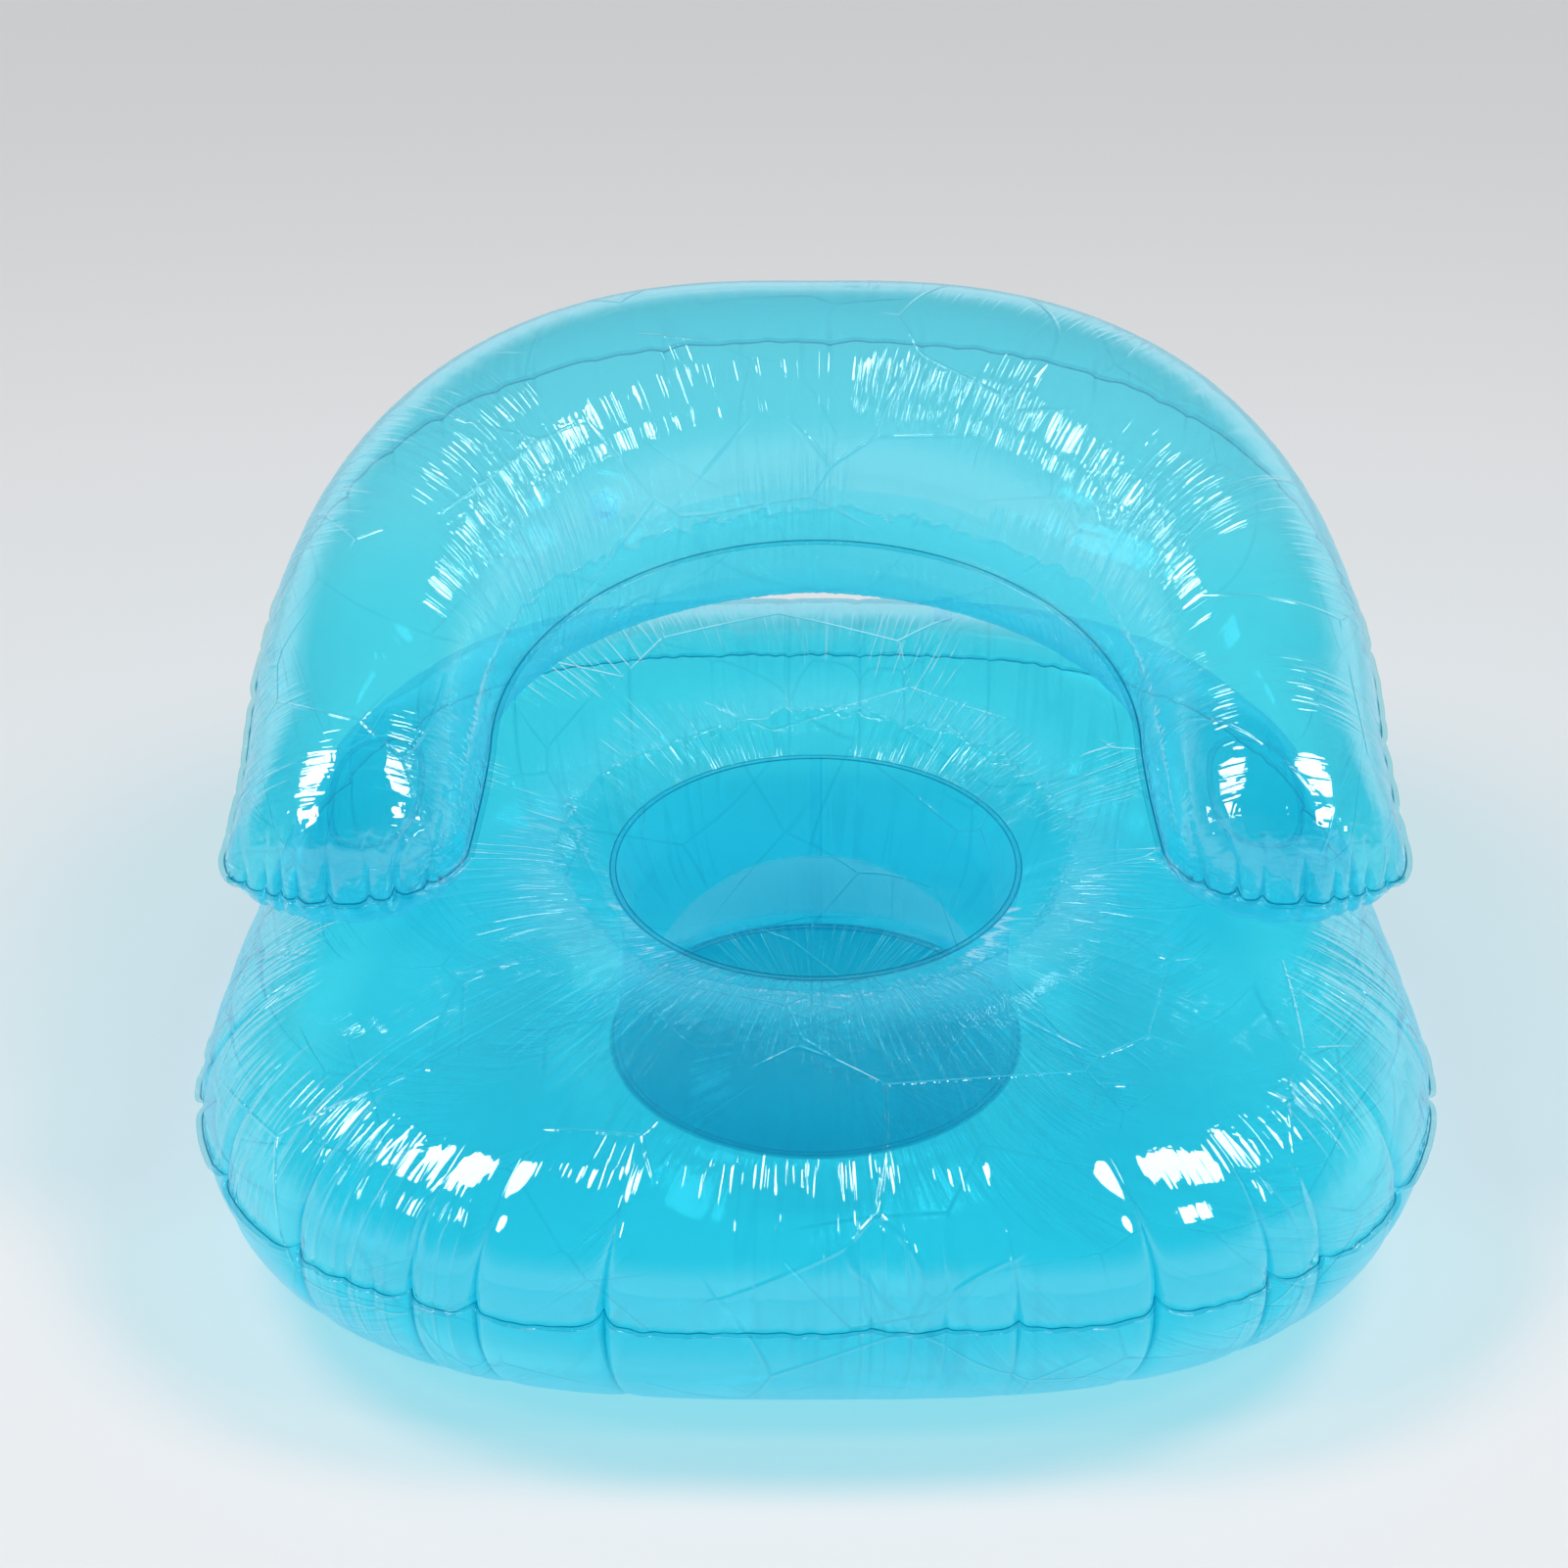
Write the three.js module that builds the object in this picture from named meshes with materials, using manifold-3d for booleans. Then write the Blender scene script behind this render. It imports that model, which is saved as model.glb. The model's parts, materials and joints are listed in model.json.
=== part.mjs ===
// Inflatable chair of clear tinted film: a square-cornered seat with a round well in it,
// and a horseshoe tube on top that is the two arms and the back. Millimetres, +Z up.
// The origin is on the floor below the middle of the chair's outline, and the sitter faces -Y.

import * as THREE from 'three';
import { mergeVertices } from 'three/addons/utils/BufferGeometryUtils.js';
import Module from 'manifold-3d';

const wasm = await Module();
wasm.setup();

// Film, welds and fits
const filmThickness = 0.35;
const seatWeldWidth = 4.5;
const backWeldWidth = 4.5;
const wellWeldWidth = 4.5;
const armWeldWidth = 4.5;
const weldThickness = 0.7; // two films melted into one flat band
const fitGap = 0.3; // between pieces that touch
const mergeShare = 0.01; // of the film's thickness, within which corners are one

// Seat
const seatHalfWidth = 397;
const seatRearHalfWidth = 318; // where the sides would end at the rear edge
const seatFrontDepth = 402; // well axis to front edge
const seatRearDepth = 384; // well axis to rear edge
const seatWidestAhead = 166; // the sides start to draw in this far ahead of the well axis
const seatSeamHeight = 114;
const seatCrownHeight = 207;
const seatCornerPower = 3.2; // 2 is an ellipse, more is squarer
const seatBulgePower = 2.1;
const seatCrownShare = 0.5; // crown's place between well edge and perimeter
const floorCutDepth = 0.5; // the round underside is cut flat by this much where it stands

// Well in the seat
const wellRadius = 135;
const wellRimHeight = 184;
const wellFloorHeight = 46;
const wellWallBulge = 8;
const wellFloorMargin = 3; // flat film outside the floor weld
const wellLapWidth = 8;

// Horseshoe tube, measured on its seam in plan from the well axis
const armInset = 34; // seat's perimeter to the arms' outer seam, at the widest place
const armWidth = 153;
const archInnerDepth = 190;
const archOuterDepth = 388;
const archOuterPower = 2.3;
const armLength = 136; // well axis to the arm's tip
const armInnerSplay = 18;
const armOuterSplay = 11;
const tipCapDepth = 40;
const tipTaperLength = 118;
const tipCornerShare = 0.88; // of the half width that the blunt end takes
const tipSeamHeight = 246;
const seamTilt = 12.7 * Math.PI / 180; // the seam's plane rises to the back
const armFullnessShare = 0.98; // half height over half width
const shoulderFullnessShare = 1.04;
const backFullnessShare = 1.08;

// Weld patches that hold the arms on the seat
const patchOutset = 4; // outward from the middle of the arm
const patchSetback = 62; // behind the well axis
const patchHalfWidth = 32;
const patchHalfLength = 68;
const patchPower = 2.6;
const patchHeight = 200;
const patchFallShare = 0.16; // slope down to the side
const patchMargin = 16; // flat film round the patch
const patchFade = 46; // over which the flat place runs out
const patchWeldGap = 0.45; // welded line over seat film
const patchClearance = 2.2; // arm film over seat film at the patch
const restClearance = 5; // arm film over seat film away from it
const patchReachShare = 0.6; // of the way from crown to perimeter that the patch may press
const edgeFreeShare = 0.95; // past this the perimeter is left alone
const seamFreeShare = 0.5; // of the arm's half width beside each seam that stays round
const crownReadShares = [0.15, 0.3, 0.5, 0.7, 0.85]; // of a step, where the film is read between sections

// Valves, each one a flange with a collar, a sliding stem, a plug on a strap and a flap
const valveFlangeRadius = 11;
const valveFlangeThickness = 0.9;
const valveCollarWall = 0.8;
const valveCollarDepth = 13;
const valveStemOuterRadius = 5.5;
const valveStemBoreRadius = 3.6;
const valveStemLength = 14.5;
const valveLipRadius = 7.4;
const valveLipThickness = 1.2;
const plugCapRadius = 6.4;
const plugCapThickness = 1.4;
const plugSpigotLength = 5;
const flapRadius = 4.9;
const flapThickness = 0.5;
const strapWidth = 2.6;
const strapThickness = 0.7;
const strapReach = 5; // outward from the lip

// Places of the valves, as shares of the sheet they are welded to
const seatValveAroundShare = 0.2; // of a turn from +X
const seatValveRowShare = 0.3; // of the outer rows from the perimeter
const backValveAlongShare = 0.4; // of the tube from left tip to right tip
const backValveAcrossShare = 0.7; // of the width from inner to outer seam

// Facets
const ringSteps = 52;
const bulgeRows = 5;
const dishShares = [0.3, 0.58, 0.8, 0.93, 1]; // crown to well edge
const wallRows = 3;
const archSteps = 13;
const armShares = [0.5, 0.76, 0.9, 0.97, 1]; // arch to tip, closer at the tip
const tubeColumns = 8;
const patchSteps = 36;
const roundSides = 20;
const strapSteps = 8;
const narrowingPasses = 8; // rounds that settle a place on the drawn-in seat

// Sizes that follow from those above
const archOuterHalfWidth = seatHalfWidth - armInset;
const archInnerHalfWidth = archOuterHalfWidth - armWidth;
const patchOffset = archOuterHalfWidth - armWidth / 2 + patchOutset;
const frontReach = seatFrontDepth + fitGap + seatWeldWidth;
const rearReach = archOuterDepth + (fitGap + backWeldWidth) * Math.cos(seamTilt);
const wellAxisY = (frontReach - rearReach) / 2;
const wellFloorWeldFoot = wellFloorHeight + filmThickness + fitGap;
const seamNormal = new THREE.Vector3(0, -Math.sin(seamTilt), Math.cos(seamTilt));
const floorNormal = new THREE.Vector3(0, 0, 1);
const valveCollarBore = valveStemOuterRadius + fitGap;
const valveCollarRadius = valveCollarBore + valveCollarWall;

const clamp = (value, low, high) => Math.min(Math.max(value, low), high);

function smoothStep(value) {
  const share = clamp(value, 0, 1);
  return share * share * (3 - 2 * share);
}

// Materials

function filmMaterial(color, opacity) {
  return new THREE.MeshStandardMaterial({ color, roughness: 0.08, metalness: 0, transparent: true, opacity });
}

const seatFilm = filmMaterial(0x2fc3e4, 0.55);
const backFilm = filmMaterial(0x62d0ec, 0.5);
const wellFilm = filmMaterial(0x12b4d6, 0.6);
const weldedFilm = filmMaterial(0x0e86a6, 0.75);
const valveVinyl = filmMaterial(0xbfe9f2, 0.85);

// Geometry helpers

function signedVolume(positions, index) {
  const corners = [new THREE.Vector3(), new THREE.Vector3(), new THREE.Vector3()];
  let volume = 0;
  for (let start = 0; start < index.length; start += 3) {
    corners.forEach((corner, place) => corner.fromArray(positions, index[start + place] * 3));
    volume += corners[0].dot(corners[1].clone().cross(corners[2])) / 6;
  }
  return volume;
}

// A geometry of loose faces as one closed skin, its faces turned out.
function closedSkin(geometry) {
  const bare = geometry.clone();
  bare.deleteAttribute('normal');
  bare.deleteAttribute('uv');
  const merged = mergeVertices(bare, filmThickness * mergeShare);
  const positions = merged.attributes.position.array;
  const index = [];
  for (let start = 0; start < merged.index.count; start += 3) {
    const face = [0, 1, 2].map((place) => merged.index.getX(start + place));
    if (new Set(face).size === 3) index.push(...face);
  }
  if (signedVolume(positions, index) < 0) index.reverse();
  merged.setIndex(index);
  return merged;
}

function skinFromLists(points, faces) {
  const geometry = new THREE.BufferGeometry();
  const positions = points.flatMap((point) => [point.x, point.y, point.z]);
  geometry.setAttribute('position', new THREE.Float32BufferAttribute(positions, 3));
  geometry.setIndex(faces.flat());
  return closedSkin(geometry);
}

// Faces of a grid whose rows all have the same count, or one point for a pole.
function gridFaces(rows, wraps) {
  const faces = [];
  const starts = [];
  let count = 0;
  rows.forEach((row) => {
    starts.push(count);
    count += row.length;
  });
  for (let row = 0; row + 1 < rows.length; row += 1) {
    const width = rows[row].length;
    const columns = wraps ? width : width - 1;
    for (let column = 0; column < columns; column += 1) {
      const next = (column + 1) % width;
      const near = starts[row] + column;
      const nearNext = starts[row] + next;
      if (rows[row + 1].length === 1) {
        faces.push([near, nearNext, starts[row + 1]]);
      } else {
        const far = starts[row + 1] + column;
        const farNext = starts[row + 1] + next;
        faces.push([near, nearNext, farNext], [near, farNext, far]);
      }
    }
  }
  return faces;
}

// The open borders of a set of faces: each edge that only one face has, in that face's direction.
function borderEdges(faces) {
  const edges = new Map();
  for (const face of faces) {
    face.forEach((from, place) => {
      const to = face[(place + 1) % 3];
      if (edges.has(`${to},${from}`)) edges.delete(`${to},${from}`);
      else edges.set(`${from},${to}`, [from, to]);
    });
  }
  return [...edges.values()];
}

// A film: the outer face is the grid, and the inner one lies a film's thickness below it.
// At the borders the thickness is measured square to the seam's axis, so the cut edge lies flat.
function filmSheet(rows, wraps, seamAxis) {
  const outer = rows.flat();
  const faces = gridFaces(rows, wraps);
  const borders = borderEdges(faces);
  const normals = outer.map(() => new THREE.Vector3());
  for (const face of faces) {
    const [first, second, third] = face.map((place) => outer[place]);
    const normal = second.clone().sub(first).cross(third.clone().sub(first));
    face.forEach((place) => normals[place].add(normal));
  }
  for (const [from, to] of borders) {
    for (const place of [from, to]) {
      normals[place].addScaledVector(seamAxis, -normals[place].dot(seamAxis));
    }
  }
  const inner = outer.map((point, place) => (
    point.clone().addScaledVector(normals[place].normalize(), -filmThickness)));
  const shift = outer.length;
  const innerFaces = faces.map((face) => face.map((place) => place + shift).reverse());
  const edgeFaces = borders.flatMap(([from, to]) => (
    [[to, from, from + shift], [to, from + shift, to + shift]]));
  return skinFromLists([...outer, ...inner], [...faces, ...innerFaces, ...edgeFaces]);
}

// A closed band: one section after another round a loop, each section the same count of corners.
function closedBand(sections) {
  const faces = [];
  const sides = sections[0].length;
  sections.forEach((section, place) => {
    const next = (place + 1) % sections.length;
    for (let side = 0; side < sides; side += 1) {
      const turn = (side + 1) % sides;
      const near = place * sides;
      const far = next * sides;
      faces.push([near + side, near + turn, far + turn], [near + side, far + turn, far + side]);
    }
  });
  return skinFromLists(sections.flat(), faces);
}

// A flat band along a loop of points, from a fit gap beside the loop out to its width.
function flangeBand(loop, outward, width, axis) {
  const half = axis.clone().multiplyScalar(weldThickness / 2);
  return closedBand(loop.map((point, place) => {
    const near = point.clone().addScaledVector(outward[place], fitGap);
    const far = near.clone().addScaledVector(outward[place], width);
    return [near.clone().sub(half), far.clone().sub(half), far.clone().add(half), near.clone().add(half)];
  }));
}

// Directions square to a closed loop, in the plane that the axis stands on.
function outwardDirections(loop, axis) {
  return loop.map((point, place) => {
    const before = loop[(place + loop.length - 1) % loop.length];
    const after = loop[(place + 1) % loop.length];
    return after.clone().sub(before).cross(axis).normalize();
  });
}

function toSolid(geometry) {
  const skin = closedSkin(geometry);
  const vertProperties = new Float32Array(skin.attributes.position.array);
  const triVerts = new Uint32Array(skin.index.array);
  return new wasm.Manifold(new wasm.Mesh({ numProp: 3, vertProperties, triVerts }));
}

function cutAway(geometry, cutter) {
  const mesh = toSolid(geometry).subtract(toSolid(cutter)).getMesh();
  const result = new THREE.BufferGeometry();
  result.setAttribute('position', new THREE.Float32BufferAttribute(mesh.vertProperties, 3));
  result.setIndex([...mesh.triVerts]);
  return result;
}

// Seat

// How far the perimeter seam lies from the well axis, before the sides draw in.
function seatReach(angle) {
  const depth = Math.sin(angle) < 0 ? seatFrontDepth : seatRearDepth;
  const across = Math.abs(Math.cos(angle)) / seatHalfWidth;
  const along = Math.abs(Math.sin(angle)) / depth;
  return (across ** seatCornerPower + along ** seatCornerPower) ** (-1 / seatCornerPower);
}

// The sides draw in from the widest place to the rear, and the well's edge stays round.
function seatNarrowing(angle, reach) {
  const setback = reach * Math.sin(angle);
  const run = Math.max(setback + seatWidestAhead, 0) / (seatRearDepth + seatWidestAhead);
  const outShare = clamp((reach - wellRadius) / (seatReach(angle) - wellRadius), 0, 1);
  return 1 - (1 - seatRearHalfWidth / seatHalfWidth) * run * outShare;
}

const crownReach = (angle) => wellRadius + seatCrownShare * (seatReach(angle) - wellRadius);

function seatPoint(angle, reach, height) {
  const side = reach * Math.cos(angle) * seatNarrowing(angle, reach);
  return new THREE.Vector3(side, reach * Math.sin(angle) + wellAxisY, height);
}

// Height share of the round side at a share of the way from crown to perimeter.
function bulgeShare(outShare) {
  return (1 - clamp(outShare, 0, 1) ** seatBulgePower) ** (1 / seatBulgePower);
}

const dishFall = (inShare) => (seatCrownHeight - wellRimHeight) * inShare ** 3;

// How firmly a weld patch holds a place in plan: 1 on the patch, and 0 past its fade.
function patchHold(side, setback) {
  const across = (Math.abs(side) - patchOffset) / (patchHalfWidth + patchMargin);
  const along = (setback - patchSetback) / (patchHalfLength + patchMargin);
  const beyond = (Math.hypot(across, along) - 1) * (patchHalfWidth + patchMargin) / patchFade;
  return 1 - smoothStep(beyond);
}

// The seat's crown, pressed flat below each arm's weld patch and left alone at the perimeter.
function pressedHeight(side, setback, height, outShare) {
  const level = patchHeight - patchFallShare * (Math.abs(side) - patchOffset);
  const edgeHold = smoothStep((edgeFreeShare - outShare) / (edgeFreeShare - patchReachShare));
  return height + (level - height) * patchHold(side, setback) * edgeHold;
}

// Height of the seat's top film above the floor at a place in plan, and zero beyond its edge.
function seatHeightAt(side, setback) {
  let even = side;
  for (let pass = 0; pass < narrowingPasses; pass += 1) {
    even = side / seatNarrowing(Math.atan2(setback, even), Math.hypot(even, setback));
  }
  const angle = Math.atan2(setback, even);
  const reach = Math.hypot(even, setback);
  const crown = crownReach(angle);
  const edge = seatReach(angle);
  if (reach > edge) return 0;
  if (reach < crown) {
    const inShare = (crown - reach) / (crown - wellRadius);
    return pressedHeight(side, setback, seatCrownHeight - dishFall(inShare), 0);
  }
  const outShare = (reach - crown) / (edge - crown);
  const rise = (seatCrownHeight - seatSeamHeight) * bulgeShare(outShare);
  return pressedHeight(side, setback, seatSeamHeight + rise, outShare);
}

const ringAngles = Array.from({ length: ringSteps }, (unused, step) => step / ringSteps * 2 * Math.PI);

// One row of the round side: the lean is a quarter turn at the perimeter and zero at the crown.
const leanOutShare = (lean) => Math.sin(lean) ** (2 / seatBulgePower);

function sideRow(lean, seamHeight, crownHeight) {
  const outShare = leanOutShare(lean);
  const height = seamHeight + (crownHeight - seamHeight) * Math.cos(lean) ** (2 / seatBulgePower);
  return ringAngles.map((angle) => {
    const crown = crownReach(angle);
    return seatPoint(angle, crown + (seatReach(angle) - crown) * outShare, height);
  });
}

function pressed(point, outShare) {
  return point.setZ(pressedHeight(point.x, point.y - wellAxisY, point.z, outShare));
}

function seatTopRows() {
  const rows = [];
  for (let row = 0; row <= bulgeRows; row += 1) {
    const lean = (1 - row / bulgeRows) * Math.PI / 2;
    const side = sideRow(lean, seatSeamHeight + fitGap / 2, seatCrownHeight);
    rows.push(side.map((point) => pressed(point, leanOutShare(lean))));
  }
  for (const inShare of dishShares) {
    const height = seatCrownHeight - dishFall(inShare);
    rows.push(ringAngles.map((angle) => {
      const crown = crownReach(angle);
      return pressed(seatPoint(angle, crown + (wellRadius - crown) * inShare, height), 0);
    }));
  }
  return rows;
}

// The underside: round sides, a flat ring to stand on, a rise to the well's floor, and the floor.
function seatBottomRows() {
  const rows = [];
  const seam = seatSeamHeight - fitGap / 2;
  const cutLean = Math.acos((1 - floorCutDepth / (seam + floorCutDepth)) ** (seatBulgePower / 2));
  for (let row = 0; row <= bulgeRows; row += 1) {
    const lean = Math.PI / 2 + (cutLean - Math.PI / 2) * row / bulgeRows;
    rows.push(sideRow(lean, seam, -floorCutDepth));
  }
  const cutShare = (floorCutDepth / (wellFloorHeight + floorCutDepth)) ** (1 / 3);
  for (const share of [0, ...dishShares]) {
    const inShare = cutShare + (1 - cutShare) * share;
    const height = (wellFloorHeight + floorCutDepth) * inShare ** 3 - floorCutDepth;
    rows.push(ringAngles.map((angle) => {
      const crown = crownReach(angle);
      const edge = wellRadius + wellFloorMargin;
      return seatPoint(angle, crown + (edge - crown) * inShare, height);
    }));
  }
  rows.push([new THREE.Vector3(0, wellAxisY, wellFloorHeight)]);
  return rows.map((row) => [...row].reverse());
}

function seatPerimeterWeld() {
  const loop = ringAngles.map((angle) => seatPoint(angle, seatReach(angle), seatSeamHeight));
  return flangeBand(loop, outwardDirections(loop, floorNormal), seatWeldWidth, floorNormal);
}

// Well

function wellWallRows() {
  const foot = wellFloorWeldFoot + weldThickness + fitGap;
  const head = wellRimHeight - filmThickness - fitGap;
  const rows = [];
  for (let row = 0; row <= wallRows; row += 1) {
    const rise = row / wallRows;
    const reach = wellRadius - wellWallBulge * Math.sin(rise * Math.PI);
    rows.push(ringAngles.map((angle) => new THREE.Vector3(
      reach * Math.cos(angle), wellAxisY + reach * Math.sin(angle), foot + (head - foot) * rise)));
  }
  return rows.reverse();
}

function wellRing(innerRadius, outerRadius, low, high) {
  return closedBand(ringAngles.map((angle) => [[innerRadius, low], [outerRadius, low], [outerRadius, high],
    [innerRadius, high]].map(([radius, height]) => new THREE.Vector3(
    radius * Math.cos(angle), wellAxisY + radius * Math.sin(angle), height))));
}

function wellRimWeld() {
  const outer = wellRadius - fitGap;
  const low = wellRimHeight - weldThickness / 2;
  return wellRing(outer - wellWeldWidth, outer, low, low + weldThickness);
}

function wellFloorWeld() {
  const low = wellFloorWeldFoot;
  return wellRing(wellRadius - wellWeldWidth, wellRadius, low, low + weldThickness);
}

// A strip of film over the wall's vertical joint, on its chamber side at the rear.
function wellLapSeam() {
  const rearColumn = Math.round(ringSteps / 4);
  const path = wellWallRows().map((row) => row[rearColumn]);
  const out = path[0].clone().setY(path[0].y - wellAxisY).setZ(0).normalize();
  const across = floorNormal.clone().cross(out);
  const low = filmThickness + fitGap;
  const high = low + filmThickness;
  const section = [[-1, low], [1, low], [1, high], [-1, high]];
  const points = path.flatMap((point) => section.map(([side, depth]) => (
    point.clone().addScaledVector(out, depth).addScaledVector(across, side * wellLapWidth / 2))));
  const faces = [[0, 1, 2], [0, 2, 3]];
  for (let row = 0; row + 1 < path.length; row += 1) {
    for (let side = 0; side < section.length; side += 1) {
      const turn = (side + 1) % section.length;
      const near = row * section.length;
      const far = near + section.length;
      faces.push([near + side, far + side, far + turn], [near + side, far + turn, near + turn]);
    }
  }
  const last = (path.length - 1) * section.length;
  faces.push([last, last + 2, last + 1], [last, last + 3, last + 2]);
  return skinFromLists(points, faces);
}

// Horseshoe tube

const seamHeightAt = (setback) => tipSeamHeight + (setback + armLength) * Math.tan(seamTilt);

// Each place along the tube: its inner and outer seam points in plan, its fullness,
// and how far it has run into the tip, from 0 at the arch to 1 at the tip.
function archStations() {
  const stations = [];
  for (let step = 0; step <= archSteps; step += 1) {
    const turn = step / archSteps * Math.PI / 2;
    const side = Math.cos(turn);
    const back = Math.sin(turn);
    const roundness = 2 / archOuterPower;
    const inner = new THREE.Vector2(-archInnerHalfWidth * side, archInnerDepth * back);
    const outer = new THREE.Vector2(
      -archOuterHalfWidth * side ** roundness, archOuterDepth * back ** roundness);
    const toShoulder = (shoulderFullnessShare - armFullnessShare) * Math.min(2 * step / archSteps, 1);
    const toBack = (backFullnessShare - shoulderFullnessShare) * Math.max(2 * step / archSteps - 1, 0);
    const fullness = armFullnessShare + toShoulder + toBack;
    stations.push({ inner, outer, fullness, tip: 0 });
  }
  return stations;
}

function armStations() {
  return armShares.map((tip) => {
    const setback = -armLength * tip;
    const inner = new THREE.Vector2(-archInnerHalfWidth - armInnerSplay * tip, setback);
    const outer = new THREE.Vector2(-archOuterHalfWidth - armOuterSplay * tip, setback);
    return { inner, outer, fullness: armFullnessShare, tip };
  });
}

function mirrored(station) {
  const flip = (point) => new THREE.Vector2(-point.x, point.y);
  return { ...station, inner: flip(station.inner), outer: flip(station.outer) };
}

function tubeStations() {
  const left = [...armStations().reverse(), ...archStations()];
  return [...left, ...left.slice(0, -1).reverse().map(mirrored)];
}

// The round end of an arm: how far a point at this share of the width lies behind the tip's line.
function capSetback(across) {
  return tipCapDepth * (1 - Math.sqrt(1 - (tipCornerShare * across) ** 2));
}

// A point of the tube's skin: across is -1 at the inner seam and 1 at the outer one,
// and up is 1 for the upper sheet, -1 for the lower one.
function tubePoint(station, across, up) {
  const centre = station.inner.clone().add(station.outer).multiplyScalar(1 / 2);
  const half = station.outer.clone().sub(station.inner).multiplyScalar(1 / 2);
  const fromTip = armLength * (1 - station.tip);
  const nearTip = station.tip > 0 ? clamp(1 - fromTip / tipCapDepth, 0, 1) : 0;
  const width = 1 - (1 - tipCornerShare) * nearTip ** 2;
  const place = centre.addScaledVector(half, across * width);
  place.y += capSetback(across) * nearTip;
  const fill = station.tip > 0 ? clamp(fromTip / tipTaperLength, 0, 1) : 1;
  const taper = Math.sqrt(1 - (1 - fill) ** 2);
  const halfHeight = half.length() * station.fullness * taper * Math.sqrt(Math.max(1 - across * across, 0));
  const seam = new THREE.Vector3(place.x, place.y + wellAxisY, seamHeightAt(place.y));
  const point = seam.addScaledVector(seamNormal, up * (halfHeight + fitGap / 2));
  return up < 0 ? restedOnSeat(point, smoothStep((1 - Math.abs(across)) / seamFreeShare)) : point;
}

// The arm's lower sheet is pulled down to its weld patch, and lies on the seat around it.
function restedOnSeat(point, seamHold) {
  const setback = point.y - wellAxisY;
  const seat = seatHeightAt(point.x, setback);
  if (seat === 0 || seamHold === 0) return point;
  const hold = patchHold(point.x, setback) * seamHold;
  const pulled = point.z + (seat + patchClearance - point.z) * hold;
  const lowest = seat + patchClearance + (restClearance - patchClearance) * (1 - hold);
  return point.setZ(Math.max(pulled, lowest));
}

function tubeRows(up) {
  const columns = Array.from({ length: tubeColumns + 1 }, (unused, column) => (
    -Math.cos(column / tubeColumns * Math.PI)));
  const rows = tubeStations().map((station) => columns.map((across) => tubePoint(station, across, up)));
  return up < 0 ? rows : rows.map((row) => [...row].reverse());
}

// The seam's loop: along the inner edge, across one tip, along the outer edge, across the other.
function tubeSeamLoop() {
  const rows = tubeRows(1).map((row) => row.map((point) => (
    point.clone().addScaledVector(seamNormal, -fitGap / 2))));
  const outer = rows.map((row) => row[0]);
  const inner = rows.map((row) => row[row.length - 1]);
  const leftTip = rows[0].slice(1, -1);
  const rightTip = rows[rows.length - 1].slice(1, -1);
  return [...outer, ...rightTip, ...inner.reverse(), ...leftTip.reverse()];
}

function backPerimeterWeld() {
  const loop = tubeSeamLoop();
  const outward = outwardDirections(loop, seamNormal).map((direction) => direction.negate());
  return flangeBand(loop, outward, backWeldWidth, seamNormal);
}

// Height of a faceted sheet at a place in plan, read from its outer faces.
function facetHeight(rows, side, depth) {
  const points = rows.flat();
  const above = new THREE.Vector3(side, depth, tipSeamHeight);
  const ray = new THREE.Ray(above, floorNormal.clone().negate());
  const hit = new THREE.Vector3();
  for (const face of gridFaces(rows, true)) {
    const [first, second, third] = face.map((place) => points[place]);
    if (ray.intersectTriangle(first, second, third, false, hit)) return hit.z;
  }
  return 0;
}

// A point of a patch's outline, moved in by an inset, on the seat's film.
function patchPoint(rows, side, angle, inset) {
  const roundness = 2 / patchPower;
  const across = Math.sign(Math.cos(angle)) * Math.abs(Math.cos(angle)) ** roundness;
  const along = Math.sign(Math.sin(angle)) * Math.abs(Math.sin(angle)) ** roundness;
  const x = side * patchOffset + across * (patchHalfWidth - inset);
  const y = wellAxisY + patchSetback + along * (patchHalfLength - inset);
  return new THREE.Vector3(x, y, facetHeight(rows, x, y) + patchWeldGap);
}

// The welded line round a patch. Where the film is crowned across or along the line,
// the line rises by the crown, so that it clears the film between its corners.
function armWeld(side) {
  const rows = seatTopRows();
  const turn = 2 * Math.PI / patchSteps;
  const lift = floorNormal.clone().multiplyScalar(weldThickness);
  const sections = [];
  for (let step = 0; step < patchSteps; step += 1) {
    const insets = [armWeldWidth, armWeldWidth / 2, 0];
    const near = insets.map((inset) => patchPoint(rows, side, step * turn, inset));
    const crown = near[1].z - (near[0].z + near[2].z) / 2;
    const bulges = [-1, 1].flatMap((way) => insets.flatMap((inset, place) => {
      const ahead = patchPoint(rows, side, (step + way) * turn, inset);
      return crownReadShares.map((share) => {
        const between = patchPoint(rows, side, (step + way * share) * turn, inset);
        return between.z - ahead.z * share - near[place].z * (1 - share);
      });
    }));
    const rise = Math.max(crown, 0) + Math.max(...bulges, 0);
    const [inner, , outer] = near.map((point) => point.setZ(point.z + rise));
    sections.push([inner, outer, outer.clone().add(lift), inner.clone().add(lift)]);
  }
  return closedBand(sections);
}

// Valves, built round the origin with +Z pointing out of the film

function turned(profile) {
  const points = profile.map(([radius, height]) => new THREE.Vector2(radius, height));
  const geometry = new THREE.LatheGeometry(points, roundSides);
  geometry.rotateX(Math.PI / 2);
  return closedSkin(geometry);
}

const flangeTop = fitGap + valveFlangeThickness;
const lipTop = flangeTop + fitGap + valveLipThickness;
const stemFoot = lipTop - valveStemLength;
const capFoot = lipTop + fitGap;

function valveBase() {
  return turned([[valveCollarBore, flangeTop], [valveFlangeRadius, flangeTop], [valveFlangeRadius, fitGap],
    [valveCollarRadius, fitGap], [valveCollarRadius, fitGap - valveCollarDepth],
    [valveCollarBore, fitGap - valveCollarDepth], [valveCollarBore, flangeTop]]);
}

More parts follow.
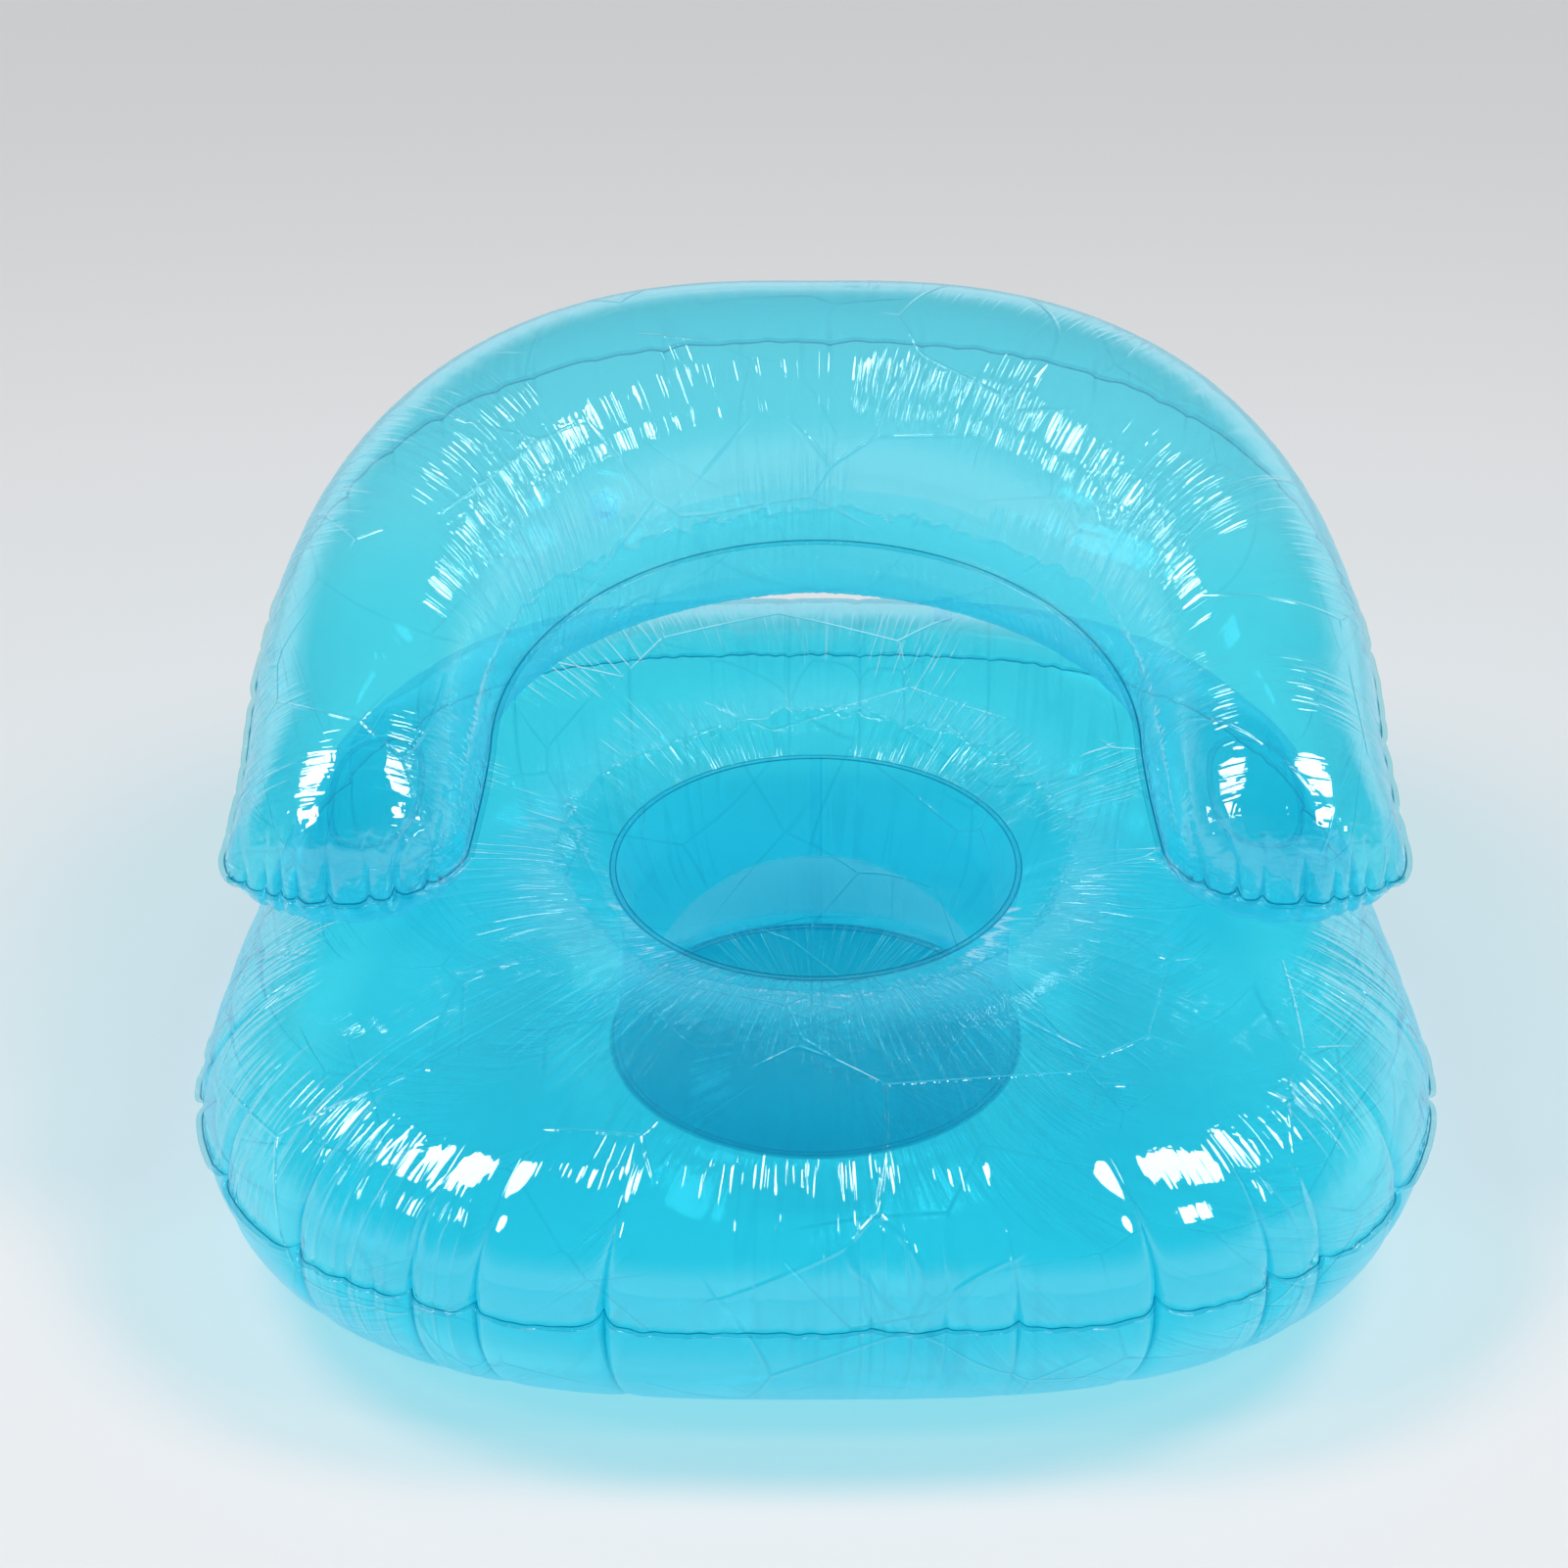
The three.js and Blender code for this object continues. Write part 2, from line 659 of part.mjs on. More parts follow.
function valveStem() {
  const lipFoot = flangeTop + fitGap;
  return turned([[valveStemBoreRadius, lipTop], [valveLipRadius, lipTop], [valveLipRadius, lipFoot],
    [valveStemOuterRadius, lipFoot], [valveStemOuterRadius, stemFoot],
    [valveStemBoreRadius, stemFoot], [valveStemBoreRadius, lipTop]]);
}

function valvePlug() {
  const spigotRadius = valveStemBoreRadius - fitGap;
  const capTop = capFoot + plugCapThickness;
  return turned([[0, capTop], [plugCapRadius, capTop], [plugCapRadius, capFoot], [spigotRadius, capFoot],
    [spigotRadius, capFoot - plugSpigotLength], [0, capFoot - plugSpigotLength]]);
}

function valveFlap() {
  const top = stemFoot - fitGap;
  return turned([[0, top], [flapRadius, top], [flapRadius, top - flapThickness], [0, top - flapThickness]]);
}

// The strap leaves the lip's side, turns back above itself and meets the plug's cap.
function valveStrap() {
  const lipMiddle = lipTop - valveLipThickness / 2;
  const capMiddle = capFoot + plugCapThickness / 2;
  const bend = (capMiddle - lipMiddle) / 2;
  const reach = valveLipRadius + strapReach;
  const path = new THREE.CurvePath();
  const place = (radius, height) => new THREE.Vector3(radius, 0, height);
  path.add(new THREE.LineCurve3(place(valveLipRadius + fitGap, lipMiddle), place(reach - bend, lipMiddle)));
  path.add(new THREE.QuadraticBezierCurve3(place(reach - bend, lipMiddle), place(reach, lipMiddle),
    place(reach, lipMiddle + bend)));
  path.add(new THREE.QuadraticBezierCurve3(place(reach, lipMiddle + bend), place(reach, capMiddle),
    place(reach - bend, capMiddle)));
  path.add(new THREE.LineCurve3(place(reach - bend, capMiddle), place(plugCapRadius + fitGap, capMiddle)));
  const section = new THREE.Shape();
  section.moveTo(-strapThickness / 2, -strapWidth / 2);
  section.lineTo(strapThickness / 2, -strapWidth / 2);
  section.lineTo(strapThickness / 2, strapWidth / 2);
  section.lineTo(-strapThickness / 2, strapWidth / 2);
  const settings = { steps: strapSteps, bevelEnabled: false, extrudePath: path };
  return closedSkin(new THREE.ExtrudeGeometry(section, settings));
}

// The place of a valve: the middle of a cell of the film's grid, lifted clear of its corners.
function valvePlace(rows, row, column) {
  const [near, far] = [rows[row], rows[row + 1]];
  const corners = [near[column], near[column + 1], far[column + 1], far[column]];
  const middle = corners.reduce((sum, corner) => sum.add(corner), new THREE.Vector3()).multiplyScalar(1 / 4);
  const normal = corners[2].clone().sub(corners[0]).cross(corners[3].clone().sub(corners[1])).normalize();
  const heights = corners.map((corner) => corner.clone().sub(middle).dot(normal));
  middle.addScaledVector(normal, Math.max(...heights));
  return { middle, normal };
}

function valveGroup(name, { middle, normal }) {
  const valve = new THREE.Group();
  valve.position.copy(middle);
  valve.quaternion.setFromUnitVectors(floorNormal, normal);
  valve.add(namedMesh(`${name}_valve_flange`, valveBase(), valveVinyl));
  valve.add(namedMesh(`${name}_valve_stem`, valveStem(), valveVinyl));
  valve.add(namedMesh(`${name}_valve_plug`, valvePlug(), valveVinyl));
  valve.add(namedMesh(`${name}_valve_strap`, valveStrap(), valveVinyl));
  valve.add(namedMesh(`${name}_valve_check_flap`, valveFlap(), valveVinyl));
  return valve;
}

// The hole that the valve's collar passes through the film.
function valveHole({ middle, normal }) {
  const radius = valveCollarRadius + fitGap;
  const hole = new THREE.CylinderGeometry(radius, radius, 2 * valveCollarDepth, roundSides);
  hole.rotateX(Math.PI / 2);
  hole.applyQuaternion(new THREE.Quaternion().setFromUnitVectors(floorNormal, normal));
  hole.translate(middle.x, middle.y, middle.z);
  return hole;
}

function namedMesh(name, geometry, material) {
  const mesh = new THREE.Mesh(geometry, material);
  mesh.name = name;
  return mesh;
}

// Assembly

const group = new THREE.Group();

const topRows = seatTopRows();
const lowerTubeRows = tubeRows(-1);
const seatValve = valvePlace(topRows, Math.round(seatValveRowShare * bulgeRows),
  Math.round(seatValveAroundShare * ringSteps));
const backValve = valvePlace(lowerTubeRows, Math.round(backValveAlongShare * (lowerTubeRows.length - 1)),
  Math.round(backValveAcrossShare * (tubeColumns - 1)));

group.add(namedMesh('seat_top_sheet',
  cutAway(filmSheet(topRows, true, floorNormal), valveHole(seatValve)), seatFilm));
group.add(namedMesh('seat_bottom_sheet', filmSheet(seatBottomRows(), true, floorNormal), seatFilm));
group.add(namedMesh('seat_perimeter_weld', seatPerimeterWeld(), weldedFilm));
group.add(namedMesh('well_wall', filmSheet(wellWallRows(), true, floorNormal), wellFilm));
group.add(namedMesh('well_wall_lap_seam', wellLapSeam(), weldedFilm));
group.add(namedMesh('well_rim_weld', wellRimWeld(), weldedFilm));
group.add(namedMesh('well_floor_weld', wellFloorWeld(), weldedFilm));
group.add(namedMesh('back_upper_sheet', filmSheet(tubeRows(1), false, seamNormal), backFilm));
group.add(namedMesh('back_lower_sheet',
  cutAway(filmSheet(lowerTubeRows, false, seamNormal), valveHole(backValve)), backFilm));
group.add(namedMesh('back_perimeter_weld', backPerimeterWeld(), weldedFilm));
group.add(namedMesh('left_arm_weld', armWeld(-1), weldedFilm));
group.add(namedMesh('right_arm_weld', armWeld(1), weldedFilm));
group.add(valveGroup('seat', seatValve));
group.add(valveGroup('back', backValve));

export default group;
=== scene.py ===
import json
import math

import bpy
import numpy as np
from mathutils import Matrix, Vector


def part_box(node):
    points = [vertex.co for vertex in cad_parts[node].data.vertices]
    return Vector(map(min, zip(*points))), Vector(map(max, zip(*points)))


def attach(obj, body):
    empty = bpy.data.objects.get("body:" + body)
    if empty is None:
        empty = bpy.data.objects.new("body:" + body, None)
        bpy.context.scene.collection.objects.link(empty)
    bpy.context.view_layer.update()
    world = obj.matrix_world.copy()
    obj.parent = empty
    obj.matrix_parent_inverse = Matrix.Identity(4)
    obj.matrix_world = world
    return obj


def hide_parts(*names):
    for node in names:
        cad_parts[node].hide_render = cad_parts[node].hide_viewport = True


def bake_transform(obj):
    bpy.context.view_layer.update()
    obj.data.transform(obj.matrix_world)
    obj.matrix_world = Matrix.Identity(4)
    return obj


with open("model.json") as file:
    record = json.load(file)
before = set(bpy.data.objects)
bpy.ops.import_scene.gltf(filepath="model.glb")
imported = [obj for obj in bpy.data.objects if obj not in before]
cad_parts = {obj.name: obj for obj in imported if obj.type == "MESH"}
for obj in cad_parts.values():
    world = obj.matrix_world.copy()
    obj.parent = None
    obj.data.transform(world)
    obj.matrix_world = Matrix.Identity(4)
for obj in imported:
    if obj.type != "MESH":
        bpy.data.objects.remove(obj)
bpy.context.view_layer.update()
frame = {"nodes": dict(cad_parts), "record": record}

# The chair is clear tinted film: an air seat with a round well in it, and a horseshoe tube on top.
# Metres, +Z up, the sitter faces -Y. Plans are measured from the well's axis.
rimLow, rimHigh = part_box("well_rim_weld")
wellAxisY = (rimLow[1] + rimHigh[1]) / 2
film = dict(thickness=0.00035, seamGap=0.00015, weldWidth=0.0045, weldThickness=0.0007, fitGap=0.0003)


# Small tools

def smoothStep(value):
    # three squares less two cubes of the value, held between 0 and 1
    share = np.clip(value, 0, 1)
    return share * share * (3 - 2 * share)


def bell(value, middle, width):
    # e to the minus square of the distance from the middle over the width
    return np.exp(-((value - middle) / width) ** 2)


def loopNoise(turn, counts, seed):
    # a sum of sines, each a whole count of waves round the loop with a seeded phase and weight
    rng = np.random.default_rng(seed)
    total = 0
    for count in counts:
        total = total + rng.uniform(0.5, 1) * np.sin(turn * count + rng.uniform(0, 2 * np.pi))
    return total / len(counts)


def unit(vectors):
    # each vector over its length
    return vectors / np.maximum(np.linalg.norm(vectors, axis=-1, keepdims=True), 1e-12)


def loopStep(loop):
    # from the point before to the point after, round a closed loop
    return np.roll(loop, -1, axis=0) - np.roll(loop, 1, axis=0)


def gridNormals(grid, wraps):
    # the cross product of the step along the row and the step between rows, made a unit
    if wraps:
        along = np.roll(grid, -1, axis=1) - np.roll(grid, 1, axis=1)
    else:
        along = np.gradient(grid, axis=1)
    return unit(np.cross(along, np.gradient(grid, axis=0)))


def shellFaces(rows, columns, wraps, pole):
    # the outer skin, the same faces turned round on the inner skin, and a rim along each open edge
    index = np.arange(rows * columns).reshape(rows, columns)
    shift = rows * columns + (1 if pole else 0)
    this = index if wraps else index[:, :-1]
    after = np.roll(index, -1, axis=1) if wraps else index[:, 1:]
    skin = np.stack([this[:-1], after[:-1], after[1:], this[1:]], axis=-1).reshape(-1, 4)
    quads = [skin, skin[:, ::-1] + shift]
    rims = [(after[0], this[0])]
    if not pole:
        rims.append((this[-1], after[-1]))
    if not wraps:
        rims.append((index[:-1, 0], index[1:, 0]))
        rims.append((index[1:, -1], index[:-1, -1]))
    for first, second in rims:
        quads.append(np.stack([first, second, second + shift, first + shift], axis=-1))
    faces = [np.concatenate(quads)]
    if pole:
        centre = np.full(columns, rows * columns)
        fan = np.stack([this[-1], after[-1], centre], axis=-1)
        faces.append(np.concatenate([fan, fan[:, ::-1] + shift]))
    return faces


def addPiece(name, points, faces, material, body, nodeName, attributes=(), sharpAngle=50):
    # faces is a list of arrays, each of faces with one count of corners; only the lay is a vector
    mesh = bpy.data.meshes.new(name)
    corners = np.concatenate([face.ravel() for face in faces])
    sizes = np.concatenate([np.full(len(face), face.shape[1]) for face in faces])
    starts = np.concatenate([[0], np.cumsum(sizes)[:-1]])
    mesh.vertices.add(len(points))
    mesh.vertices.foreach_set("co", points.astype(np.float32).ravel())
    mesh.loops.add(len(corners))
    mesh.loops.foreach_set("vertex_index", corners.astype(np.int32))
    mesh.polygons.add(len(sizes))
    mesh.polygons.foreach_set("loop_start", starts.astype(np.int32))
    mesh.update(calc_edges=True)
    for label, values in attributes:
        kind, key = ("FLOAT_VECTOR", "vector") if label == "lay" else ("FLOAT", "value")
        layer = mesh.attributes.new(label, kind, "POINT")
        layer.data.foreach_set(key, values.astype(np.float32).ravel())
    mesh.shade_smooth()
    mesh.set_sharp_from_angle(angle=math.radians(sharpAngle))
    mesh.materials.append(material)
    piece = bpy.data.objects.new(name, mesh)
    bpy.context.scene.collection.objects.link(piece)
    if body:
        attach(piece, body)
    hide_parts(nodeName)
    return piece


def addFilm(name, outer, wraps, material, nodeName, slotName, pole=None, **looks):
    # The inner skin lies a film's thickness under the outer one, square to it. A pole closes the
    # last row. The looks are what the material reads: lay, crumple, fold, ring and bloom;
    # fold also carries painted shade on some pieces, and bloom is a painted pale sheen.
    inner = outer - gridNormals(outer, wraps) * film["thickness"]
    skins = []
    for skin, drop in ((outer, 0), (inner, film["thickness"])):
        flat = skin.reshape(-1, 3)
        skins.append(flat if pole is None else np.vstack([flat, np.array(pole) + [0, 0, drop]]))
    attributes = []
    for label, values in looks.items():
        whole = np.broadcast_to(values, outer.shape if label == "lay" else outer.shape[:2])
        flat = whole.reshape(outer.shape[0] * outer.shape[1], -1)
        if pole is not None:
            flat = np.vstack([flat, flat[-1:]])
        attributes.append((label, np.vstack([flat, flat])))
    faces = shellFaces(*outer.shape[:2], wraps, pole is not None)
    return addPiece(name, np.vstack(skins), faces, material, "chair", nodeName, attributes)


def bandFaces(count, sides, closed=True):
    # a section of corners carried round a loop
    index = np.arange(count * sides).reshape(count, sides)
    here = index if closed else index[:-1]
    ahead = np.roll(index, -1, axis=0) if closed else index[1:]
    corners = [here, np.roll(here, -1, axis=1), np.roll(ahead, -1, axis=1), ahead]
    return np.stack(corners, axis=-1).reshape(-1, 4)


def addBand(name, rings, nodeName, dark, flip):
    # a closed band of welded film: one ring of points for each corner of its section
    points = np.stack(rings, axis=1)
    faces = bandFaces(*points.shape[:2])
    if flip:
        faces = faces[:, ::-1]
    line = np.tile(dark, len(points))
    addPiece(name, points.reshape(-1, 3), [faces], weldVinyl, "chair", nodeName,
             [("line", line)])


# Materials

def node(tree, kind, **values):
    # each value sets a property or an input of the node, or is a socket linked to that input
    made = tree.nodes.new("ShaderNode" + kind)
    for key, value in values.items():
        if hasattr(made, key):
            setattr(made, key, value)
            continue
        entry = made.inputs[int(key[1:]) if key[1:].isdigit() else key.replace("_", " ")]
        if isinstance(value, bpy.types.NodeSocket):
            tree.links.new(value, entry)
        else:
            entry.default_value = value
    return made


def mathNode(tree, operation, first, second=0.0):
    return node(tree, "Math", operation=operation, _0=first, _1=second).outputs[0]


def rangeNode(tree, value, low, high, toLow=0.0, toHigh=1.0, kind="SMOOTHSTEP"):
    return node(tree, "MapRange", interpolation_type=kind, Value=value, From_Min=low, From_Max=high,
                To_Min=toLow, To_Max=toHigh).outputs["Result"]


def mixShader(tree, share, first, second):
    return node(tree, "MixShader", _0=share, _1=first, _2=second).outputs[0]


def mixColour(tree, share, first, second):
    return node(tree, "Mix", data_type="RGBA", _0=share, _6=(*first, 1), _7=(*second, 1)).outputs[2]


# scales are in cells to the metre, widths and reaches as the noises give them, depths in millimetres
# and shades as shares of the crease's tint
creases = dict(patchScale=9.0, streakPatches=(0.47, 0.60), markPatches=(0.40, 0.52), ringPatches=(0.28, 0.42),
               streaks=((1.0, 0.085), (2.1, 0.10)), streakBend=0.15, markWidth=0.014, facetWidth=0.2,
               ringScale=120.0, ringWander=0.022, ringWidth=0.0024, paleFrom=0.002, paleUntil=(0.012, 0.07),
               swellScale=24.0, swell=1.7,
               depths=dict(streak=0.46, fineStreak=0.22, mark=0.65, facet=0.28, ring=0.6),
               shades=dict(streak=0.14, facet=0.22, mark=0.25, ring=0.25))


def makeCreaseGroup():
    # Fine creases of stretched film, as a height in millimetres. Streaks run across the chamber,
    # marks are long straight folds, crumples are small facets where the film is gathered, and the
    # ring is a crinkled fold where the distance Ring is zero. Just beyond the ring, Pale gives a painted pale
    # sheen.
    tree = bpy.data.node_groups.new("filmCreases", "ShaderNodeTree")
    tree.interface.new_socket(name="Lay", in_out="INPUT", socket_type="NodeSocketVector")
    for way, labels in (("INPUT", ("Gather", "Ring", "Streaks", "Cover", "Stretch", "Marks", "Crumples")),
                        ("OUTPUT", ("Height", "Crease", "Pale"))):
        for label in labels:
            tree.interface.new_socket(name=label, in_out=way, socket_type="NodeSocketFloat")
    entry = tree.nodes.new("NodeGroupInput").outputs
    leave = tree.nodes.new("NodeGroupOutput").inputs
    place = node(tree, "TexCoord").outputs["Object"]

    def add(first, second):
        return mathNode(tree, "ADD", first, second)

    def times(first, second):
        return mathNode(tree, "MULTIPLY", first, second)

    def noise(where, **values):
        return node(tree, "TexNoise", Vector=where, Detail=1.0, **values).outputs["Fac"]

    def lineAt(distance, width):
        return rangeNode(tree, mathNode(tree, "ABSOLUTE", distance), 0.0, width, 1.0, 0.0)

    def cellEdges(scale, width):
        cells = node(tree, "TexVoronoi", feature="DISTANCE_TO_EDGE", Vector=place, Scale=scale)
        return lineAt(cells.outputs["Distance"], width)

    # streaks: creases where a stretched noise crosses its middle, in patches
    squash = node(tree, "CombineXYZ", X=1, Y=1, Z=entry["Stretch"]).outputs[0]
    stretched = node(tree, "VectorMath", operation="MULTIPLY", _0=entry["Lay"], _1=squash).outputs[0]
    patches = noise(place, Scale=creases["patchScale"])
    mask = add(rangeNode(tree, add(patches, entry["Cover"]), *creases["streakPatches"]), entry["Gather"])
    lines = {}
    for label, (finer, width) in zip(("streak", "fineStreak"), creases["streaks"]):
        streak = noise(stretched, Scale=times(entry["Streaks"], finer), Distortion=creases["streakBend"])
        lines[label] = times(lineAt(add(streak, -0.5), width), mask)

    # marks are the edges of large cells, in places, and facets those of small ones
    marked = rangeNode(tree, patches, *creases["markPatches"])
    lines["mark"] = times(cellEdges(entry["Marks"], creases["markWidth"]), marked)
    lines["facet"] = times(cellEdges(entry["Crumples"], creases["facetWidth"]), entry["Gather"])

    # ring: a fine noise shifts it to and fro
    wander = times(add(noise(place, Scale=creases["ringScale"]), -0.5), creases["ringWander"])
    beyond = add(entry["Ring"], wander)
    ringed = rangeNode(tree, patches, *creases["ringPatches"])
    lines["ring"] = times(lineAt(beyond, creases["ringWidth"]), ringed)
    # Pale: painted pale sheen just beyond the ring, fading outward
    pale = times(rangeNode(tree, beyond, 0.0, creases["paleFrom"]),
                 rangeNode(tree, entry["Ring"], *creases["paleUntil"], 1.0, 0.0))

    # the film's own slow unevenness, and the creases on it
    height = times(noise(stretched, Scale=creases["swellScale"]), creases["swell"])
    for label, depth in creases["depths"].items():
        height = add(height, times(lines[label], depth))
    crease = 0.0
    for label, shade in creases["shades"].items():
        crease = mathNode(tree, "MAXIMUM", crease, times(lines[label], shade))
    for label, socket in (("Height", height), ("Crease", crease), ("Pale", pale)):
        tree.links.new(socket, leave[label])
    return tree


creaseGroup = makeCreaseGroup()


def clearSurface(tree, normal, tint, look, bloom=0.0):
    # Light passes with a tint, a small share is scattered, and a share is mirrored. Both shares grow
    # with the facing angle and turn bluish there. The scattered share, and the paleness of its colour,
    # also grow with the painted sheen: a painted pale sheen put where light makes the film look paler.
    # All of it is on the side that faces the ray, since the two sides of a film are one thin pane. The other
    # side and the lamps' own rays only take a tint.
    facing = node(tree, "LayerWeight", Blend=0.5, Normal=normal).outputs["Facing"]
    mirror = rangeNode(tree, mathNode(tree, "POWER", facing, look["grazing"]), 0.0, 1.0, look["mirror"],
                       look["edgeMirror"], "LINEAR")
    # edge is the facing angle's power, or the painted sheen where that is greater
    edge = mathNode(tree, "MAXIMUM", mathNode(tree, "POWER", facing, look["edgePower"]), bloom)
    haze = rangeNode(tree, edge, 0.0, 1.0, look["haze"], look["edgeAndSheenHaze"], "LINEAR")
    clear = node(tree, "BsdfTransparent", Color=tint).outputs[0]
    milk = node(tree, "BsdfPrincipled", Base_Color=mixColour(tree, edge, look["milk"], look["edgeAndSheenMilk"]),
                Roughness=0.6, Specular_IOR_Level=0, Normal=normal).outputs[0]
    shine = node(tree, "BsdfGlossy", Color=mixColour(tree, edge, (1, 1, 1), look["edgeShine"]),
                 Roughness=look["roughness"], Normal=normal).outputs[0]
    face = mixShader(tree, mirror, mixShader(tree, haze, clear, milk), shine)
    far = node(tree, "BsdfTransparent", Color=(*look["tint"], 1)).outputs[0]
    dimmed = [channel * look["lampShare"] for channel in look["tint"]]
    lamp = node(tree, "BsdfTransparent", Color=(*dimmed, 1)).outputs[0]
    sided = mixShader(tree, node(tree, "NewGeometry").outputs["Backfacing"], face, far)
    node(tree, "OutputMaterial",
         Surface=mixShader(tree, node(tree, "LightPath").outputs["Is Shadow Ray"], sided, lamp))


def newTree(name):
    material = bpy.data.materials.new(name)
    material.use_nodes = True
    material.node_tree.nodes.clear()
    return material, material.node_tree


def attributeNode(tree, label, output="Fac"):
    return node(tree, "Attribute", attribute_name=label).outputs[output]


def filmMaterial(name, look, streaks, cover, stretch, marks, crumples):
    # the crease group, fed by the piece's attributes, bumps the film and darkens its creases; the fold
    # attribute darkens pleats, and on some pieces it paints shade
    material, tree = newTree(name)
    lay = attributeNode(tree, "lay", "Vector")
    made = node(tree, "Group", node_tree=creaseGroup, Lay=lay, Gather=attributeNode(tree, "crumple"),
                Ring=attributeNode(tree, "ring"), Streaks=streaks, Cover=cover, Stretch=stretch, Marks=marks,
                Crumples=crumples).outputs
    normal = node(tree, "Bump", Strength=1, Distance=0.001, Height=made["Height"]).outputs[0]
    darker = mathNode(tree, "MAXIMUM", made["Crease"], attributeNode(tree, "fold"))
    tint = mixColour(tree, darker, look["tint"], look["creaseTint"])
    # the ring's painted pale sheen is added to the piece's painted sheen
    pale = mathNode(tree, "MULTIPLY", made["Pale"], look["ringPaintedSheen"])
    clearSurface(tree, normal, tint, look, mathNode(tree, "ADD", attributeNode(tree, "bloom"), pale))
    return material


def vinylMaterial(name, look, grain, grainDepth):
    # Thicker vinyl with a moulded grain. Its cut or pressed edges, where "line" is 1, look darker.
    material, tree = newTree(name)
    noise = node(tree, "TexNoise", Scale=grain, Detail=3.0, Vector=node(tree, "TexCoord").outputs["Object"])
    normal = node(tree, "Bump", Strength=1, Distance=grainDepth, Height=noise.outputs["Fac"]).outputs[0]
    clearSurface(tree, normal, mixColour(tree, attributeNode(tree, "line"), look["tint"], look["lineTint"]),
                 look)
    return material


# edgeAndSheenHaze and edgeAndSheenMilk: the scattered share and its colour at grazing angles, and also where
# the painted sheen is full
edgeLook = dict(edgeMirror=0.72, edgePower=3.2, edgeAndSheenHaze=0.34, edgeAndSheenMilk=(0.42, 0.86, 1.0),
                edgeShine=(0.62, 0.90, 1.0))
filmLook = dict(edgeLook, tint=(0.535, 0.958, 0.996), creaseTint=(0.10, 0.68, 0.81), milk=(0.0, 0.9, 1.0),
                ringPaintedSheen=0.6, haze=0.06, mirror=0.075, grazing=2.6, roughness=0.03, lampShare=0.94)
# the under film's deeper crease tint also paints shade on the well's floor disc
underLook = dict(filmLook, roughness=0.07, mirror=0.016, creaseTint=(0.04, 0.52, 0.67))
backLook = dict(filmLook, tint=(0.57, 0.958, 0.996), milk=(0.0, 0.88, 1.0), edgeAndSheenMilk=(0.85, 0.93, 1.0),
                edgePower=2.6, ringPaintedSheen=0.24)
backUnderLook = dict(backLook, roughness=0.07, mirror=0.02, edgePower=2.0)
# the well's grazing haze and milk also colour the painted pale lens of sheen on its rear wall
wellLook = dict(filmLook, tint=(0.50, 0.945, 0.99), mirror=0.03, edgeAndSheenHaze=0.44, edgeAndSheenMilk=(0.55, 0.88, 0.96))
lapLook = dict(filmLook, tint=(0.93, 0.985, 0.995), creaseTint=(0.30, 0.74, 0.84), haze=0.0, mirror=0.03)
weldLook = dict(edgeLook, tint=(0.74, 0.96, 0.99), lineTint=(0.06, 0.36, 0.48), milk=(0.0, 0.5, 0.6),
                haze=0.05, mirror=0.07, grazing=4.0, roughness=0.06, lampShare=0.9)
valveLook = dict(edgeLook, tint=(0.90, 0.975, 0.99), lineTint=(0.7, 0.85, 0.9), milk=(0.80, 0.97, 1.0),
                 haze=0.36, mirror=0.05, grazing=4.0, roughness=0.2, lampShare=0.9)
seatFilm = filmMaterial("seatFilm", filmLook, streaks=80, cover=0.06, stretch=0.07, marks=8, crumples=60)
seatUnderFilm = filmMaterial("seatUnderFilm", underLook, streaks=80, cover=0, stretch=0.07, marks=8,
                             crumples=60)
backFilm = filmMaterial("backFilm", backLook, streaks=95, cover=0.0, stretch=0.07, marks=9, crumples=75)
backUnderFilm = filmMaterial("backUnderFilm", backUnderLook, streaks=95, cover=-0.05, stretch=0.07, marks=9,
                             crumples=75)
wellFilm = filmMaterial("wellFilm", wellLook, streaks=50, cover=-0.08, stretch=0.2, marks=10, crumples=80)
lapFilm = filmMaterial("lapFilm", lapLook, streaks=50, cover=-0.1, stretch=0.2, marks=10, crumples=80)
weldVinyl = vinylMaterial("weldVinyl", weldLook, 500, 0.0003)
valveVinyl = vinylMaterial("valveVinyl", valveLook, 700, 0.0001)
print("materials made")


# Seat: a rounded square plan, crowned above and below, with its sides drawn in to the rear

seat = dict(halfWidth=0.397, rearHalfWidth=0.318, frontDepth=0.402, rearDepth=0.384, widestAhead=0.166,
            seamHeight=0.114, crownHeight=0.207, cornerPower=3.2, bulgePower=2.1, crownShare=0.5,
            cut=0.0005, columns=730, sideRows=32, dishRows=20, undersideRows=14, weldColumns=1400,
            dishSpacing=0.9, footRise=0.03, floorRings=[0.985, 0.95, 0.85, 0.65, 0.35, 0.06], fill=0.95)
well = dict(radius=0.135, rimHeight=0.184, floorHeight=0.046, wallBulge=0.008, floorMargin=0.003,
            lapWidth=0.008, lapColumns=9, lapRows=40, wallRows=44, wallColumns=520, weldColumns=720)
patch = dict(offset=0.2905, setback=0.062, halfWidth=0.032, halfLength=0.068, power=2.6, height=0.200,
             fall=0.16, margin=0.016, fade=0.046, weldGap=0.00045, clearance=0.0022, rest=0.005,
             reachShare=0.6, edgeFreeShare=0.95, seamFreeShare=0.5, softness=0.0015)
